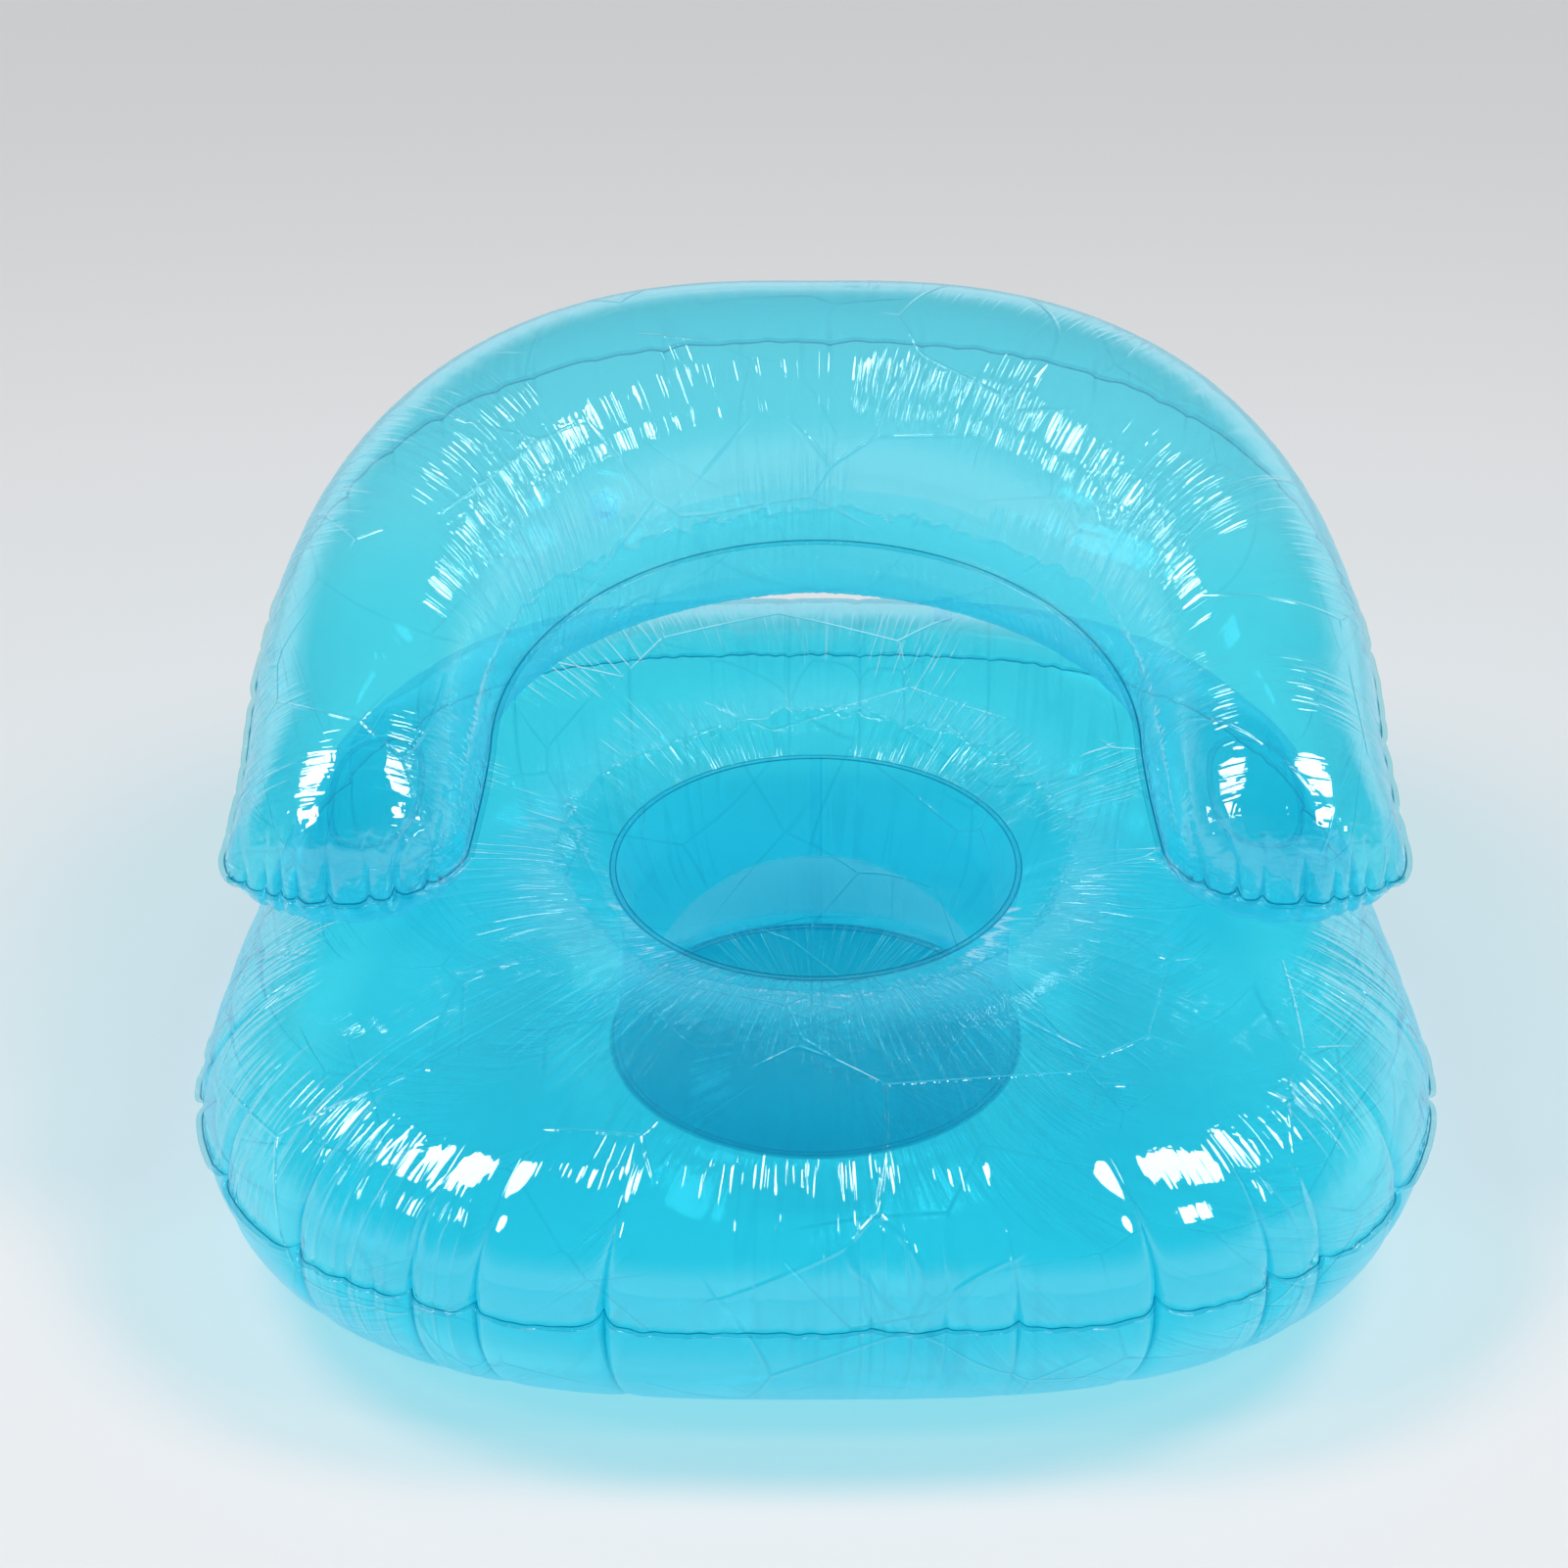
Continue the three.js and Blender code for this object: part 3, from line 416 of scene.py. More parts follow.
# the pleats of the seat's seam: the front ones by place across, and the rest at seeded gaps
seatPleats = dict(
    frontAt=[-0.318, -0.285, -0.268, -0.246, -0.206, -0.1275, 0.033, 0.078, 0.1214, 0.206, 0.277, 0.309],
    frontDeep=[1.0, 0.25, 0.25, 0.9, 1.0, 1.2, 0.3, 0.3, 0.6, 1.3, 1.1, 0.6],
    depth=0.0062, width=0.0028, widening=0.15, reach=0.046, lift=0.0046, liftWidth=0.0050,
    liftReach=0.03, pinchDepth=0.0035, pinchWidth=0.009, pinchReach=0.016, gapLow=0.11, gapHigh=0.24,
    swell=0.0014, swellWidth=0.022, swellReach=0.05, waves=(0.0010, 0.0011), drop=0.001,
    shadeWidth=0.0011, rearShade=0.4, clear=0.005, deepLow=0.25, deepHigh=1.1, reachShare=0.6,
    reachByDepth=0.8, beside=[-0.0042, -0.0022, -0.0009, 0, 0.0009, 0.0022, 0.0042], droop=0.25, seed=7)
# shallow waves: on the round side, and round the well with a wandering ridge
seatWaves = dict(side=0.00022, sideAt=0.05, sideWidth=0.04, ring=0.00042, ringAt=0.178, ringWidth=0.016,
                 ridge=0.0006, ridgeAt=0.170, ridgeWander=0.004, ridgeWidth=0.007, rimFade=0.012)
# where the film is gathered: weight, place across and along, width and length of each spot
seatGathers = dict(spots=((0.9, 0.355, -0.115, 0.06, 0.06), (0.4, 0.26, -0.27, 0.08, 0.06),
                          (0.85, 0, wellAxisY - 0.205, 0.11, 0.045)),
                   ring=0.5, ringWidth=0.02, seam=0.35, seamReach=0.02, foldAt=0.168, foldWander=0.006,
                   # bloom: a painted pale sheen on either side of the seat top: weight, place across and
                   # along, width and length
                   bloom=(0.3, 0.26, -0.12, 0.09, 0.16), layRadius=0.28, underWell=0.4, underSeam=0.4)


def seatReach(angle):
    # superellipse: the powers of the two shares of the half width and the depth add up to 1
    depth = np.where(np.sin(angle) < 0, seat["frontDepth"], seat["rearDepth"])
    across = np.abs(np.cos(angle)) / seat["halfWidth"]
    along = np.abs(np.sin(angle)) / depth
    power = seat["cornerPower"]
    return (across ** power + along ** power) ** (-1 / power)


def seatNarrowing(angle, reach):
    # 1 at the widest place and at the well, falling evenly to the rear edge
    ahead = seat["widestAhead"]
    run = np.maximum(reach * np.sin(angle) + ahead, 0) / (seat["rearDepth"] + ahead)
    outShare = np.clip((reach - well["radius"]) / (seatReach(angle) - well["radius"]), 0, 1)
    return 1 - (1 - seat["rearHalfWidth"] / seat["halfWidth"]) * run * outShare


def seatPlan(angle, reach, height):
    # the well's axis is the middle, and the sides are drawn in by the narrowing
    side = reach * np.cos(angle) * seatNarrowing(angle, reach)
    return np.stack(np.broadcast_arrays(side, reach * np.sin(angle) + wellAxisY, height), axis=-1)


def crownReach(angle):
    # an even share of the way from the well's edge to the seat's edge
    return well["radius"] + seat["crownShare"] * (seatReach(angle) - well["radius"])


def dishHeight(inShare):
    # from the crown down to the well's edge, by the cube of the share inward
    return seat["crownHeight"] - (seat["crownHeight"] - well["rimHeight"]) * inShare ** 3


def patchHold(side, setback):
    # 1 on the weld patch of an arm, and 0 past its fade
    wide, long = patch["halfWidth"] + patch["margin"], patch["halfLength"] + patch["margin"]
    away = np.hypot((np.abs(side) - patch["offset"]) / wide, (setback - patch["setback"]) / long)
    return 1 - smoothStep((away - 1) * wide / patch["fade"])


def pressedHeight(side, setback, height, outShare):
    # pressed to the level of the arms' weld patches, which falls outward, but free at the seam
    level = patch["height"] - patch["fall"] * (np.abs(side) - patch["offset"])
    free = patch["edgeFreeShare"]
    edgeHold = smoothStep((free - outShare) / (free - patch["reachShare"]))
    return height + (level - height) * patchHold(side, setback) * edgeHold


def seatHeightAt(side, setback):
    # height of the seat's top at places in plan, by undoing the narrowing in a few passes
    even = np.array(side, dtype=float)
    for _ in range(8):
        even = side / seatNarrowing(np.arctan2(setback, even), np.hypot(even, setback))
    angle, reach = np.arctan2(setback, even), np.hypot(even, setback)
    crown, edge = crownReach(angle), seatReach(angle)
    inShare = np.clip((crown - reach) / (crown - well["radius"]), 0, None)
    outShare = np.clip((reach - crown) / (edge - crown), 0, 1)
    bulge = (1 - outShare ** seat["bulgePower"]) ** (1 / seat["bulgePower"])
    slope = seat["seamHeight"] + (seat["crownHeight"] - seat["seamHeight"]) * bulge
    height = np.where(reach < crown, dishHeight(inShare), slope)
    return np.where(reach > edge, -1.0, pressedHeight(side, setback, height, outShare))


def pleatAngles():
    # the front pleats' places across become angles, and the others follow at seeded gaps
    turns = np.linspace(np.pi, 2 * np.pi, 2000)
    front = np.interp(seatPleats["frontAt"], seatPlan(turns, seatReach(turns), 0.0)[:, 0], turns)
    rng = np.random.default_rng(seatPleats["seed"])
    others = front[-1] + np.cumsum(rng.uniform(seatPleats["gapLow"], seatPleats["gapHigh"], 60))
    others = others[others < front[0] + 2 * np.pi - seatPleats["gapLow"]]
    deep = rng.uniform(seatPleats["deepLow"], seatPleats["deepHigh"], len(others))
    return np.concatenate([front, others]), np.concatenate([seatPleats["frontDeep"], deep])


pleatTurns, pleatDeep = pleatAngles()
pleatReach = seatPleats["reach"] * (seatPleats["reachShare"] + seatPleats["reachByDepth"] * pleatDeep)
pleatShade = np.where(np.arange(len(pleatTurns)) < len(seatPleats["frontAt"]), 1, seatPleats["rearShade"])


def fromPleats(angle):
    # distance from each pleat, round the seat's edge
    turned = (angle[..., None] - pleatTurns + np.pi) % (2 * np.pi) - np.pi
    return np.abs(turned) * seatReach(angle)[..., None]


def seatColumns():
    # even columns, and closer ones beside each pleat so that its fold is crisp
    even = np.arange(seat["columns"]) / seat["columns"] * 2 * np.pi
    beside = seatPleats["beside"] / seatReach(pleatTurns)[:, None]
    close = (pleatTurns[:, None] + beside).ravel() % (2 * np.pi)
    return np.sort(np.concatenate([even[fromPleats(even).min(1) > seatPleats["clear"]], close]))


def pleatFold(angle, fromSeam):
    # the folded film looks darker along each pleat
    dark = np.exp(-fromPleats(angle) / seatPleats["shadeWidth"]) * bell(fromSeam[..., None], 0, pleatReach)
    return np.clip((np.minimum(pleatDeep, 1) * pleatShade * dark).sum(-1), 0, 1)


def seatEdge(angle, fromSeam):
    # How far the film is pushed out and lifted. Each pleat pulls it in, as e to the minus distance
    # over width, it swells a little between them, and its seam waves up and down.
    apart, away = fromPleats(angle), fromSeam[..., None]
    spread = seatPleats["width"] * (1 + away / seatPleats["widening"])
    pull = (pleatDeep * np.exp(-apart / spread - (away / pleatReach) ** 1.3)).sum(-1) * seatPleats["depth"]
    pinch = np.exp(-apart / seatPleats["pinchWidth"] - away / seatPleats["pinchReach"])
    pull = pull + (pleatDeep * pinch).sum(-1) * seatPleats["pinchDepth"]
    between = 1 - np.exp(-apart.min(-1) / seatPleats["swellWidth"])
    swell = seatPleats["swell"] * between * np.exp(-fromSeam / seatPleats["swellReach"])
    lift = (pleatDeep * np.exp(-apart / seatPleats["liftWidth"])).sum(-1) * seatPleats["lift"]
    broad, fine = seatPleats["waves"]
    lift = lift + broad * loopNoise(angle, (23, 31, 47), 3) + fine * loopNoise(angle, (113, 139, 167, 191), 4)
    return swell - pull, (lift - seatPleats["drop"]) * np.exp(-fromSeam / seatPleats["liftReach"])


def seatRipples(angle, reach, fromSeam):
    # shallow radial waves on the round side, and a ring of finer ones round the well
    patches = smoothStep(0.5 + 1.2 * loopNoise(angle, (5, 8, 13, 17), 11) * np.cos(reach * 40))
    side = seatWaves["side"] * bell(fromSeam, seatWaves["sideAt"], seatWaves["sideWidth"])
    side = side * loopNoise(angle, (57, 83, 97, 121, 149), 12)
    ring = seatWaves["ring"] * bell(reach, seatWaves["ringAt"], seatWaves["ringWidth"])
    ring = ring * loopNoise(angle, (61, 79, 103, 127, 151, 173), 13)
    ridgeAt = seatWaves["ridgeAt"] + seatWaves["ridgeWander"] * loopNoise(angle, (3, 7, 11), 14)
    return side * patches + ring + seatWaves["ridge"] * bell(reach, ridgeAt, seatWaves["ridgeWidth"])


def arcFromStart(grid):
    # running length along each column of the grid
    steps = np.linalg.norm(np.diff(grid, axis=0), axis=-1)
    return np.vstack([np.zeros((1, grid.shape[1])), np.cumsum(steps, axis=0)])


def seatSideRows(lean, angle, seamHeight, crownHeight):
    # from the seam to the crown: the section's powers of both shares add up to 1
    power = 2 / seat["bulgePower"]
    crown = crownReach(angle)
    outShare = np.sin(lean)[:, None] ** power + 0 * crown
    height = seamHeight + (crownHeight - seamHeight) * np.cos(lean)[:, None] ** power + 0 * crown
    return crown + (seatReach(angle) - crown) * outShare, outShare, height


# both seat films lie on the same plan, so they share their lay and their pleats' shade
def addSeatFilm(name, grid, turns, fromSeam, material, nodeName, foldRise=1.0, dark=0.0, **more):
    radius = seatGathers["layRadius"]
    lay = np.stack([radius * np.cos(turns), radius * np.sin(turns), fromSeam], axis=-1)
    # dark sets a least fold tint: on the bottom film, painted shade over the well's floor disc
    fold = np.maximum(pleatFold(turns, fromSeam * foldRise), dark)
    piece = addFilm(name, grid, True, material, nodeName, "seat_film", lay=lay, fold=fold, **more)


def spot(grid, weight, side, along, wide, long):
    # a weight at a place in plan and at its mirror image, falling off as a bell
    return weight * bell(np.abs(grid[..., 0]), side, wide) * bell(grid[..., 1], along, long)


def makeSeatTop():
    # rows from the seam over the crown and down the dish to the well's edge
    angle = seatColumns()
    lean = np.linspace(np.pi / 2, 0, seat["sideRows"] + 1)
    seam = seat["seamHeight"] + film["seamGap"]
    reach, outShare, height = seatSideRows(lean, angle, seam, seat["crownHeight"])
    inShare = np.linspace(0, 1, seat["dishRows"] + 1)[1:, None] ** seat["dishSpacing"]
    crown = crownReach(angle)
    dishReach = crown + (well["radius"] - crown) * inShare
    reach = np.vstack([reach, dishReach])
    height = np.vstack([height, dishHeight(inShare) + 0 * dishReach])
    outShare = np.vstack([outShare, 0 * dishReach])
    turns = np.broadcast_to(angle, reach.shape)
    grid = seatPlan(turns, reach, height)
    grid[..., 2] = pressedHeight(grid[..., 0], grid[..., 1] - wellAxisY, grid[..., 2], outShare)
    fromSeam = arcFromStart(grid)
    push, lift = seatEdge(turns, fromSeam)
    rimFree = smoothStep((reach - well["radius"]) / seatWaves["rimFade"])
    push = push + seatRipples(turns, reach, fromSeam) * rimFree
    push = push * (1 - patchHold(grid[..., 0], grid[..., 1] - wellAxisY))
    grid = grid + gridNormals(grid, True) * push[..., None]
    grid[..., 2] += lift
    flattenAtValve(grid, "seat")
    gather = seatGathers["ring"] * bell(reach, seatWaves["ringAt"], seatGathers["ringWidth"])
    gather = gather + seatGathers["seam"] * np.exp(-fromSeam / seatGathers["seamReach"])
    gather = gather + sum(spot(grid, *values) for values in seatGathers["spots"])
    fromFold = reach - seatGathers["foldAt"] - seatGathers["foldWander"] * loopNoise(turns, (3, 5, 8), 15)
    addSeatFilm("seatTopFilm", grid, turns, fromSeam, seatFilm, "seat_top_sheet",
                crumple=np.clip(gather, 0, 1), ring=fromFold, bloom=spot(grid, *seatGathers["bloom"]))


def makeSeatBottom():
    # the side rounds under to a flat ring, the middle rises to the well's floor, and the floor is a disc
    angle = seatColumns()[::-1]
    seam, cut = seat["seamHeight"] - film["seamGap"], seat["cut"]
    cutLean = math.acos((1 - cut / (seam + cut)) ** (seat["bulgePower"] / 2))
    lean = np.linspace(np.pi / 2, cutLean, seat["sideRows"] + 1)
    reach, _, height = seatSideRows(lean, angle, seam, -cut)
    rise = well["floorHeight"] + cut
    cutShare = (cut / rise) ** (1 / 3)
    inShare = cutShare + (1 - cutShare) * np.linspace(0, 1, seat["undersideRows"])[:, None]
    crown = crownReach(angle)
    edge = well["radius"] + well["floorMargin"]
    dishReach = crown + (edge - crown) * inShare
    discReach = edge * np.array(seat["floorRings"])[:, None] + 0 * crown
    reach = np.vstack([reach, dishReach, discReach])
    height = np.vstack([height, rise * inShare ** 3 - cut + 0 * dishReach,
                        well["floorHeight"] + 0 * discReach])
    turns = np.broadcast_to(angle, reach.shape)
    grid = seatPlan(turns, reach, height)
    fromSeam = arcFromStart(grid)
    push, lift = seatEdge(turns, fromSeam)
    offFloor = smoothStep(grid[..., 2] / seat["footRise"])
    grid = grid + gridNormals(grid, True) * (push * offFloor)[..., None]
    grid[..., 2] = np.maximum(grid[..., 2] + lift * offFloor, 0)
    gather = seatGathers["underSeam"] * np.exp(-fromSeam / seatGathers["seamReach"])
    gather = gather + seatGathers["underWell"] * bell(reach, edge, seatGathers["ringWidth"])
    # painted shade: the well's floor disc takes the full crease tint, standing in for the shadow on the floor
    # beneath it
    addSeatFilm("seatBottomFilm", grid, turns, fromSeam, seatUnderFilm, "seat_bottom_sheet", foldRise=0.7,
                dark=1.0 * (reach < edge * 0.99), crumple=np.clip(gather, 0, 1), ring=1.0, bloom=0.0,
                pole=(0, wellAxisY, well["floorHeight"]))


def weldBand(name, loop, outward, up, nodeName):
    # a flat band beside the seam: a section with rounded outer corners, carried round the loop
    half, width = film["weldThickness"] / 2, film["weldWidth"]
    upper = [(0, 1, 1), (0.22, 1, 1), (0.3, 1, 0.05), (0.85, 1, 0), (0.94, 1, 0.2), (1, 0.4, 0.3)]
    section = [(a, -b, dark) for a, b, dark in upper] + upper[::-1]
    rings = [loop + outward * (film["fitGap"] + width * a) + up * (half * b) for a, b, dark in section]
    addBand(name, rings, nodeName, [dark for a, b, dark in section], False)


def makeSeatWeld():
    # the weld follows the seam's pull and lift, and droops and rises a little
    count = seat["weldColumns"]
    angle = np.arange(count)[::-1] / count * 2 * np.pi
    loop = seatPlan(angle, seatReach(angle), seat["seamHeight"])
    outward = unit(np.cross([0, 0, 1], loopStep(loop)))
    push, lift = seatEdge(angle, 0 * angle)
    loop = loop + outward * push[:, None]
    loop[:, 2] += lift
    droop = seatPleats["droop"] * loopNoise(angle, (37, 53, 71, 97), 21)[:, None]
    upright = np.array([0, 0, 1.0])
    weldBand("seatPerimeterWeld", loop, unit(outward - upright * droop), unit(upright + outward * droop),
             "seat_perimeter_weld")


# Valves: a flange with a collar, a sliding stem, a plug on a strap, and a check flap

valve = dict(flangeRadius=0.011, flangeThickness=0.0009, collarWall=0.0008, collarDepth=0.013,
             stemRadius=0.0055, boreRadius=0.0036, stemLength=0.0145, lipRadius=0.0074, lipThickness=0.0012,
             capRadius=0.0064, capThickness=0.0014, capDimple=0.0005, spigotLength=0.005, flapRadius=0.0049,
             flapThickness=0.0005, strapWidth=0.0026, strapThickness=0.0007, strapReach=0.005,
             flatRadius=0.0125, flatFade=0.022, flatReach=0.03, filmGap=0.0001, turns=72,
             rounding=dict(Flange=0.0003, Stem=0.0004, Plug=0.0004, Flap=0.0002))
flangeTop = film["fitGap"] + valve["flangeThickness"]
lipTop = flangeTop + film["fitGap"] + valve["lipThickness"]
stemFoot = lipTop - valve["stemLength"]
capFoot = lipTop + film["fitGap"]


def valveFrame(name):
    # the axis is the stem's slide, and the flange's vertices lie round it, up to the flange's top
    joint = next(j for j in frame["record"]["behaviour"]["joints"] if j["name"] == name + "_stem_slide")
    axis = unit(np.array(joint["axis"], dtype=float))
    mesh = frame["nodes"][name + "_valve_flange"]
    corners = np.array([tuple(mesh.matrix_world @ v.co) for v in mesh.data.vertices])
    corners = np.unique(np.round(corners, 6), axis=0)
    middle = corners.mean(axis=0)
    top = (corners @ axis).max()
    return middle + axis * (top - flangeTop - middle @ axis), axis


valveFrames = {name: valveFrame(name) for name in ("seat", "back")}


def flattenAtValve(grid, name):
    # the film lies flat under a flange and returns to its own shape past the fade
    origin, axis = valveFrames[name]
    rise = (grid - origin) @ axis
    aside = np.linalg.norm(grid - origin - rise[..., None] * axis, axis=-1)
    hold = 1 - smoothStep((aside - valve["flatRadius"]) / valve["flatFade"])
    hold = hold * (np.abs(rise) < valve["flatReach"])
    grid -= axis * ((rise + valve["filmGap"]) * hold)[..., None]


def valveAxes(name):
    # the strap's side is the turned +X, as when +Z is turned straight onto the axis
    origin, axis = valveFrames[name]
    spin = np.cross([0, 0, 1.0], axis)
    lean = 1 + axis[2]
    matrix = np.array([[0, -spin[2], spin[1]], [spin[2], 0, -spin[0]], [-spin[1], spin[0], 0]])
    turn = np.eye(3) + matrix + matrix @ matrix / lean
    return origin, turn


def turnedPart(name, part, profile, body, nodeName):
    # A profile of radius and height carried round the valve's axis. One that starts on the axis
    # ends there too, and gets a fan of triangles at either end.
    turns = np.arange(valve["turns"])[:, None] / valve["turns"] * 2 * np.pi
    radius, height = np.array(profile).T
    ring = np.stack([np.cos(turns) * radius, np.sin(turns) * radius, 0 * turns + height], axis=-1)
    if radius[0] > 0:
        points = ring.reshape(-1, 3)
        faces = [bandFaces(*ring.shape[:2])[:, ::-1]]
    else:
        count, sides = len(ring), len(profile) - 2
        points = np.vstack([ring[:, 1:-1].reshape(-1, 3), ring[0, 0], ring[0, -1]])
        index = np.arange(count * sides).reshape(count, sides)
        ahead = np.roll(index, -1, axis=0)
        quads = np.stack([ahead[:, :-1], ahead[:, 1:], index[:, 1:], index[:, :-1]], axis=-1).reshape(-1, 4)
        foot, head = np.full(count, count * sides), np.full(count, count * sides + 1)
        faces = [quads, np.vstack([np.stack([ahead[:, 0], index[:, 0], foot], axis=-1),
                                   np.stack([index[:, -1], ahead[:, -1], head], axis=-1)])]
    origin, turn = valveAxes(name)
    addPiece(name + part, points @ turn.T + origin, faces, valveVinyl, body, nodeName,
             sharpAngle=40)


def rounded(profile, radius):
    # each corner of the profile becomes a short curve between points a radius away on its two sides
    points = np.array(profile, dtype=float)
    made = []
    for place, corner in enumerate(points):
        if corner[0] <= 0:
            made.append(corner)
            continue
        ways = points[place - 1] - corner, points[(place + 1) % len(points)] - corner
        spans = [np.linalg.norm(way) for way in ways]
        start, end = (corner + way / span * min(radius, 0.4 * span) for way, span in zip(ways, spans))
        for t in (0, 0.35, 0.65, 1):
            made.append((1 - t) ** 2 * start + 2 * t * (1 - t) * corner + t * t * end)
    return made


def makeValve(name):
    # each part is a section of radii and heights along the axis, measured from the film
    gap = film["fitGap"]
    bore, hole, stemRadius = valve["stemRadius"] + gap, valve["boreRadius"], valve["stemRadius"]
    outer, collarFoot = bore + valve["collarWall"], gap - valve["collarDepth"]
    flange, lip, lipFoot = valve["flangeRadius"], valve["lipRadius"], flangeTop + gap
    base = [(bore, flangeTop), (bore, collarFoot), (outer, collarFoot), (outer, gap), (flange, gap),
            (flange * 0.97, flangeTop * 0.8), (lip * 1.12, flangeTop * 0.9), (lip * 1.05, flangeTop)]
    stem = [(hole, lipTop), (hole, stemFoot), (stemRadius, stemFoot), (stemRadius, lipFoot), (lip, lipFoot),
            (lip, lipTop)]
    spigot, spigotFoot = hole - gap, capFoot - valve["spigotLength"]
    cap, capTop = valve["capRadius"], capFoot + valve["capThickness"]
    dimple = capTop - valve["capDimple"]
    plug = [(0, spigotFoot), (spigot, spigotFoot), (spigot, capFoot), (cap, capFoot), (cap, capTop),
            (cap * 0.6, capTop), (cap * 0.45, dimple), (0, dimple)]
    flapRadius, flapTop = valve["flapRadius"], stemFoot - gap
    flapFoot = flapTop - valve["flapThickness"]
    flap = [(0, flapFoot), (flapRadius, flapFoot), (flapRadius, flapTop), (0, flapTop)]
    for part, profile, body, nodeEnd in (
            ("Flange", base, "chair", "flange"), ("Stem", stem, name + "_stem", "stem"),
            ("Plug", plug, name + "_plug", "plug"), ("Flap", flap, name + "_flap", "check_flap")):
        edged = rounded(profile, valve["rounding"][part])
        turnedPart(name, "Valve" + part, edged, body, name + "_valve_" + nodeEnd)
    makeStrap(name)


def makeStrap(name):
    # a flat strip from the lip's side out and back to the plug's cap, a half circle at its far end
    lipMiddle = lipTop - valve["lipThickness"] / 2
    capMiddle = capFoot + valve["capThickness"] / 2
    bend = (capMiddle - lipMiddle) / 2
    far = valve["lipRadius"] + valve["strapReach"] - bend
    turn = np.linspace(-np.pi / 2, np.pi / 2, 17)
    straight = np.linspace(valve["lipRadius"] + film["fitGap"], far, 8)[:-1]
    back = np.linspace(far, valve["capRadius"] + film["fitGap"], 8)[1:]
    path = np.vstack([np.stack([straight, 0 * straight + lipMiddle], axis=-1),
                      np.stack([far + bend * np.cos(turn), lipMiddle + bend + bend * np.sin(turn)], axis=-1),
                      np.stack([back, 0 * back + capMiddle], axis=-1)])
    step = unit(np.gradient(path, axis=0))
    normal = np.stack([-step[:, 1], step[:, 0]], axis=-1)
    half, edge = valve["strapThickness"] / 2, valve["strapWidth"] / 2
    lower = [(-half, -edge * 0.85), (-half * 0.5, -edge), (half * 0.5, -edge), (half, -edge * 0.85)]
    rows = []
    for a, b in lower + [(a, -b) for a, b in lower[::-1]]:
        at = path + normal * a
        rows.append(np.stack([at[:, 0], 0 * at[:, 0] + b, at[:, 1]], axis=-1))
    ring = np.stack(rows, axis=1)
    origin, turnMatrix = valveAxes(name)
    first, last = np.arange(len(rows)), np.arange(len(rows)) + (len(path) - 1) * len(rows)
    faces = [bandFaces(*ring.shape[:2], closed=False)[:, ::-1], np.array([first, last[::-1]])]
    piece = addPiece(name + "ValveStrap", ring.reshape(-1, 3) @ turnMatrix.T + origin, faces, valveVinyl,
                     None, name + "_valve_strap")
    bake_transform(piece)


# Well: the wall, its lap seam, and the two weld rings

# on the wall: a fold at the front, gathers above the foot, painted shade towards the foot, and a painted pale
# sheen as a lens low at the rear
wallLook = dict(fold=0.0015, foldWidth=0.003, lowWaves=0.0007, waves=0.0004, gather=0.12, gatherReach=0.12,
                lens=0.8, lensHeight=0.46, lensTurn=1.5, lensEnd=1.3, footShade=0.42, footReach=0.17)


def awayFrom(turns, middle):
    # the smaller angle between each turn and the middle
    return np.abs((turns - middle + np.pi) % (2 * np.pi) - np.pi)


def wallReach(rise):
    # drawn in by half a sine wave over the wall's height
    return well["radius"] - well["wallBulge"] * np.sin(rise * np.pi)


def makeWellWall():
    # rows from the rim down to the foot, round the well's axis
    foot = well["floorHeight"] + film["thickness"] + film["fitGap"] * 2 + film["weldThickness"]
    head = well["rimHeight"] - film["thickness"] - film["fitGap"]
    rise = np.linspace(1, 0, well["wallRows"] + 1)[:, None]
    angle = np.arange(well["wallColumns"]) / well["wallColumns"] * 2 * np.pi
    turns = np.broadcast_to(-angle, (len(rise), len(angle)))
    free = np.sin(rise * np.pi)
    fold = np.exp(-awayFrom(turns, -np.pi / 2) * well["radius"] / wallLook["foldWidth"])
    low = np.exp(-rise / wallLook["gatherReach"]) * smoothStep(rise / 0.03)
    reach = wallReach(rise) - wallLook["fold"] * free * fold
    reach = reach + wallLook["lowWaves"] * low * loopNoise(turns, (29, 41, 57, 73, 97), 31)
    reach = reach + wallLook["waves"] * free * loopNoise(turns, (9, 14, 23), 32)
    height = foot + (head - foot) * rise + 0 * reach
    grid = np.stack([reach * np.cos(turns), wellAxisY + reach * np.sin(turns), height], axis=-1)
    lay = np.stack([well["radius"] * np.cos(turns), well["radius"] * np.sin(turns), height], axis=-1)
    fromRear = awayFrom(turns, np.pi / 2)
    arch = np.sqrt(np.maximum(np.cos(fromRear * wallLook["lensTurn"]), 0)) * (fromRear < wallLook["lensEnd"])
    # lens: a painted pale sheen low on the rear wall, under an arch that is highest at the rear
    lens = smoothStep((wallLook["lensHeight"] * arch - rise) / 0.03 + 0.3) * smoothStep(rise / 0.12)
    # painted shade: the wall's tint darkens towards its foot, at the bottom of the well
    shade = wallLook["footShade"] * bell(rise, 0, wallLook["footReach"])
    addFilm("wellWallFilm", grid, True, wellFilm, "well_wall", "well_film", lay=lay, fold=shade, ring=1.0,
            crumple=wallLook["gather"] * low, bloom=wallLook["lens"] * lens)

    # the lap: a second strip of film over the wall's joint at the rear, on the chamber's side
    across = np.linspace(-1, 1, well["lapColumns"]) * well["lapWidth"] / 2
    rises = np.linspace(1, 0, well["lapRows"])[:, None]
    behind = wellAxisY + wallReach(rises) + film["thickness"] * 2 + film["fitGap"]
    lap = np.stack(np.broadcast_arrays(across, behind, foot + (head - foot) * rises), axis=-1)
    addFilm("wellLapSeam", lap, False, lapFilm, "well_wall_lap_seam", "weld_line", lay=0.0, crumple=0.0,
            fold=0.8 * (across > 0.45 * well["lapWidth"]), ring=1.0, bloom=0.0)


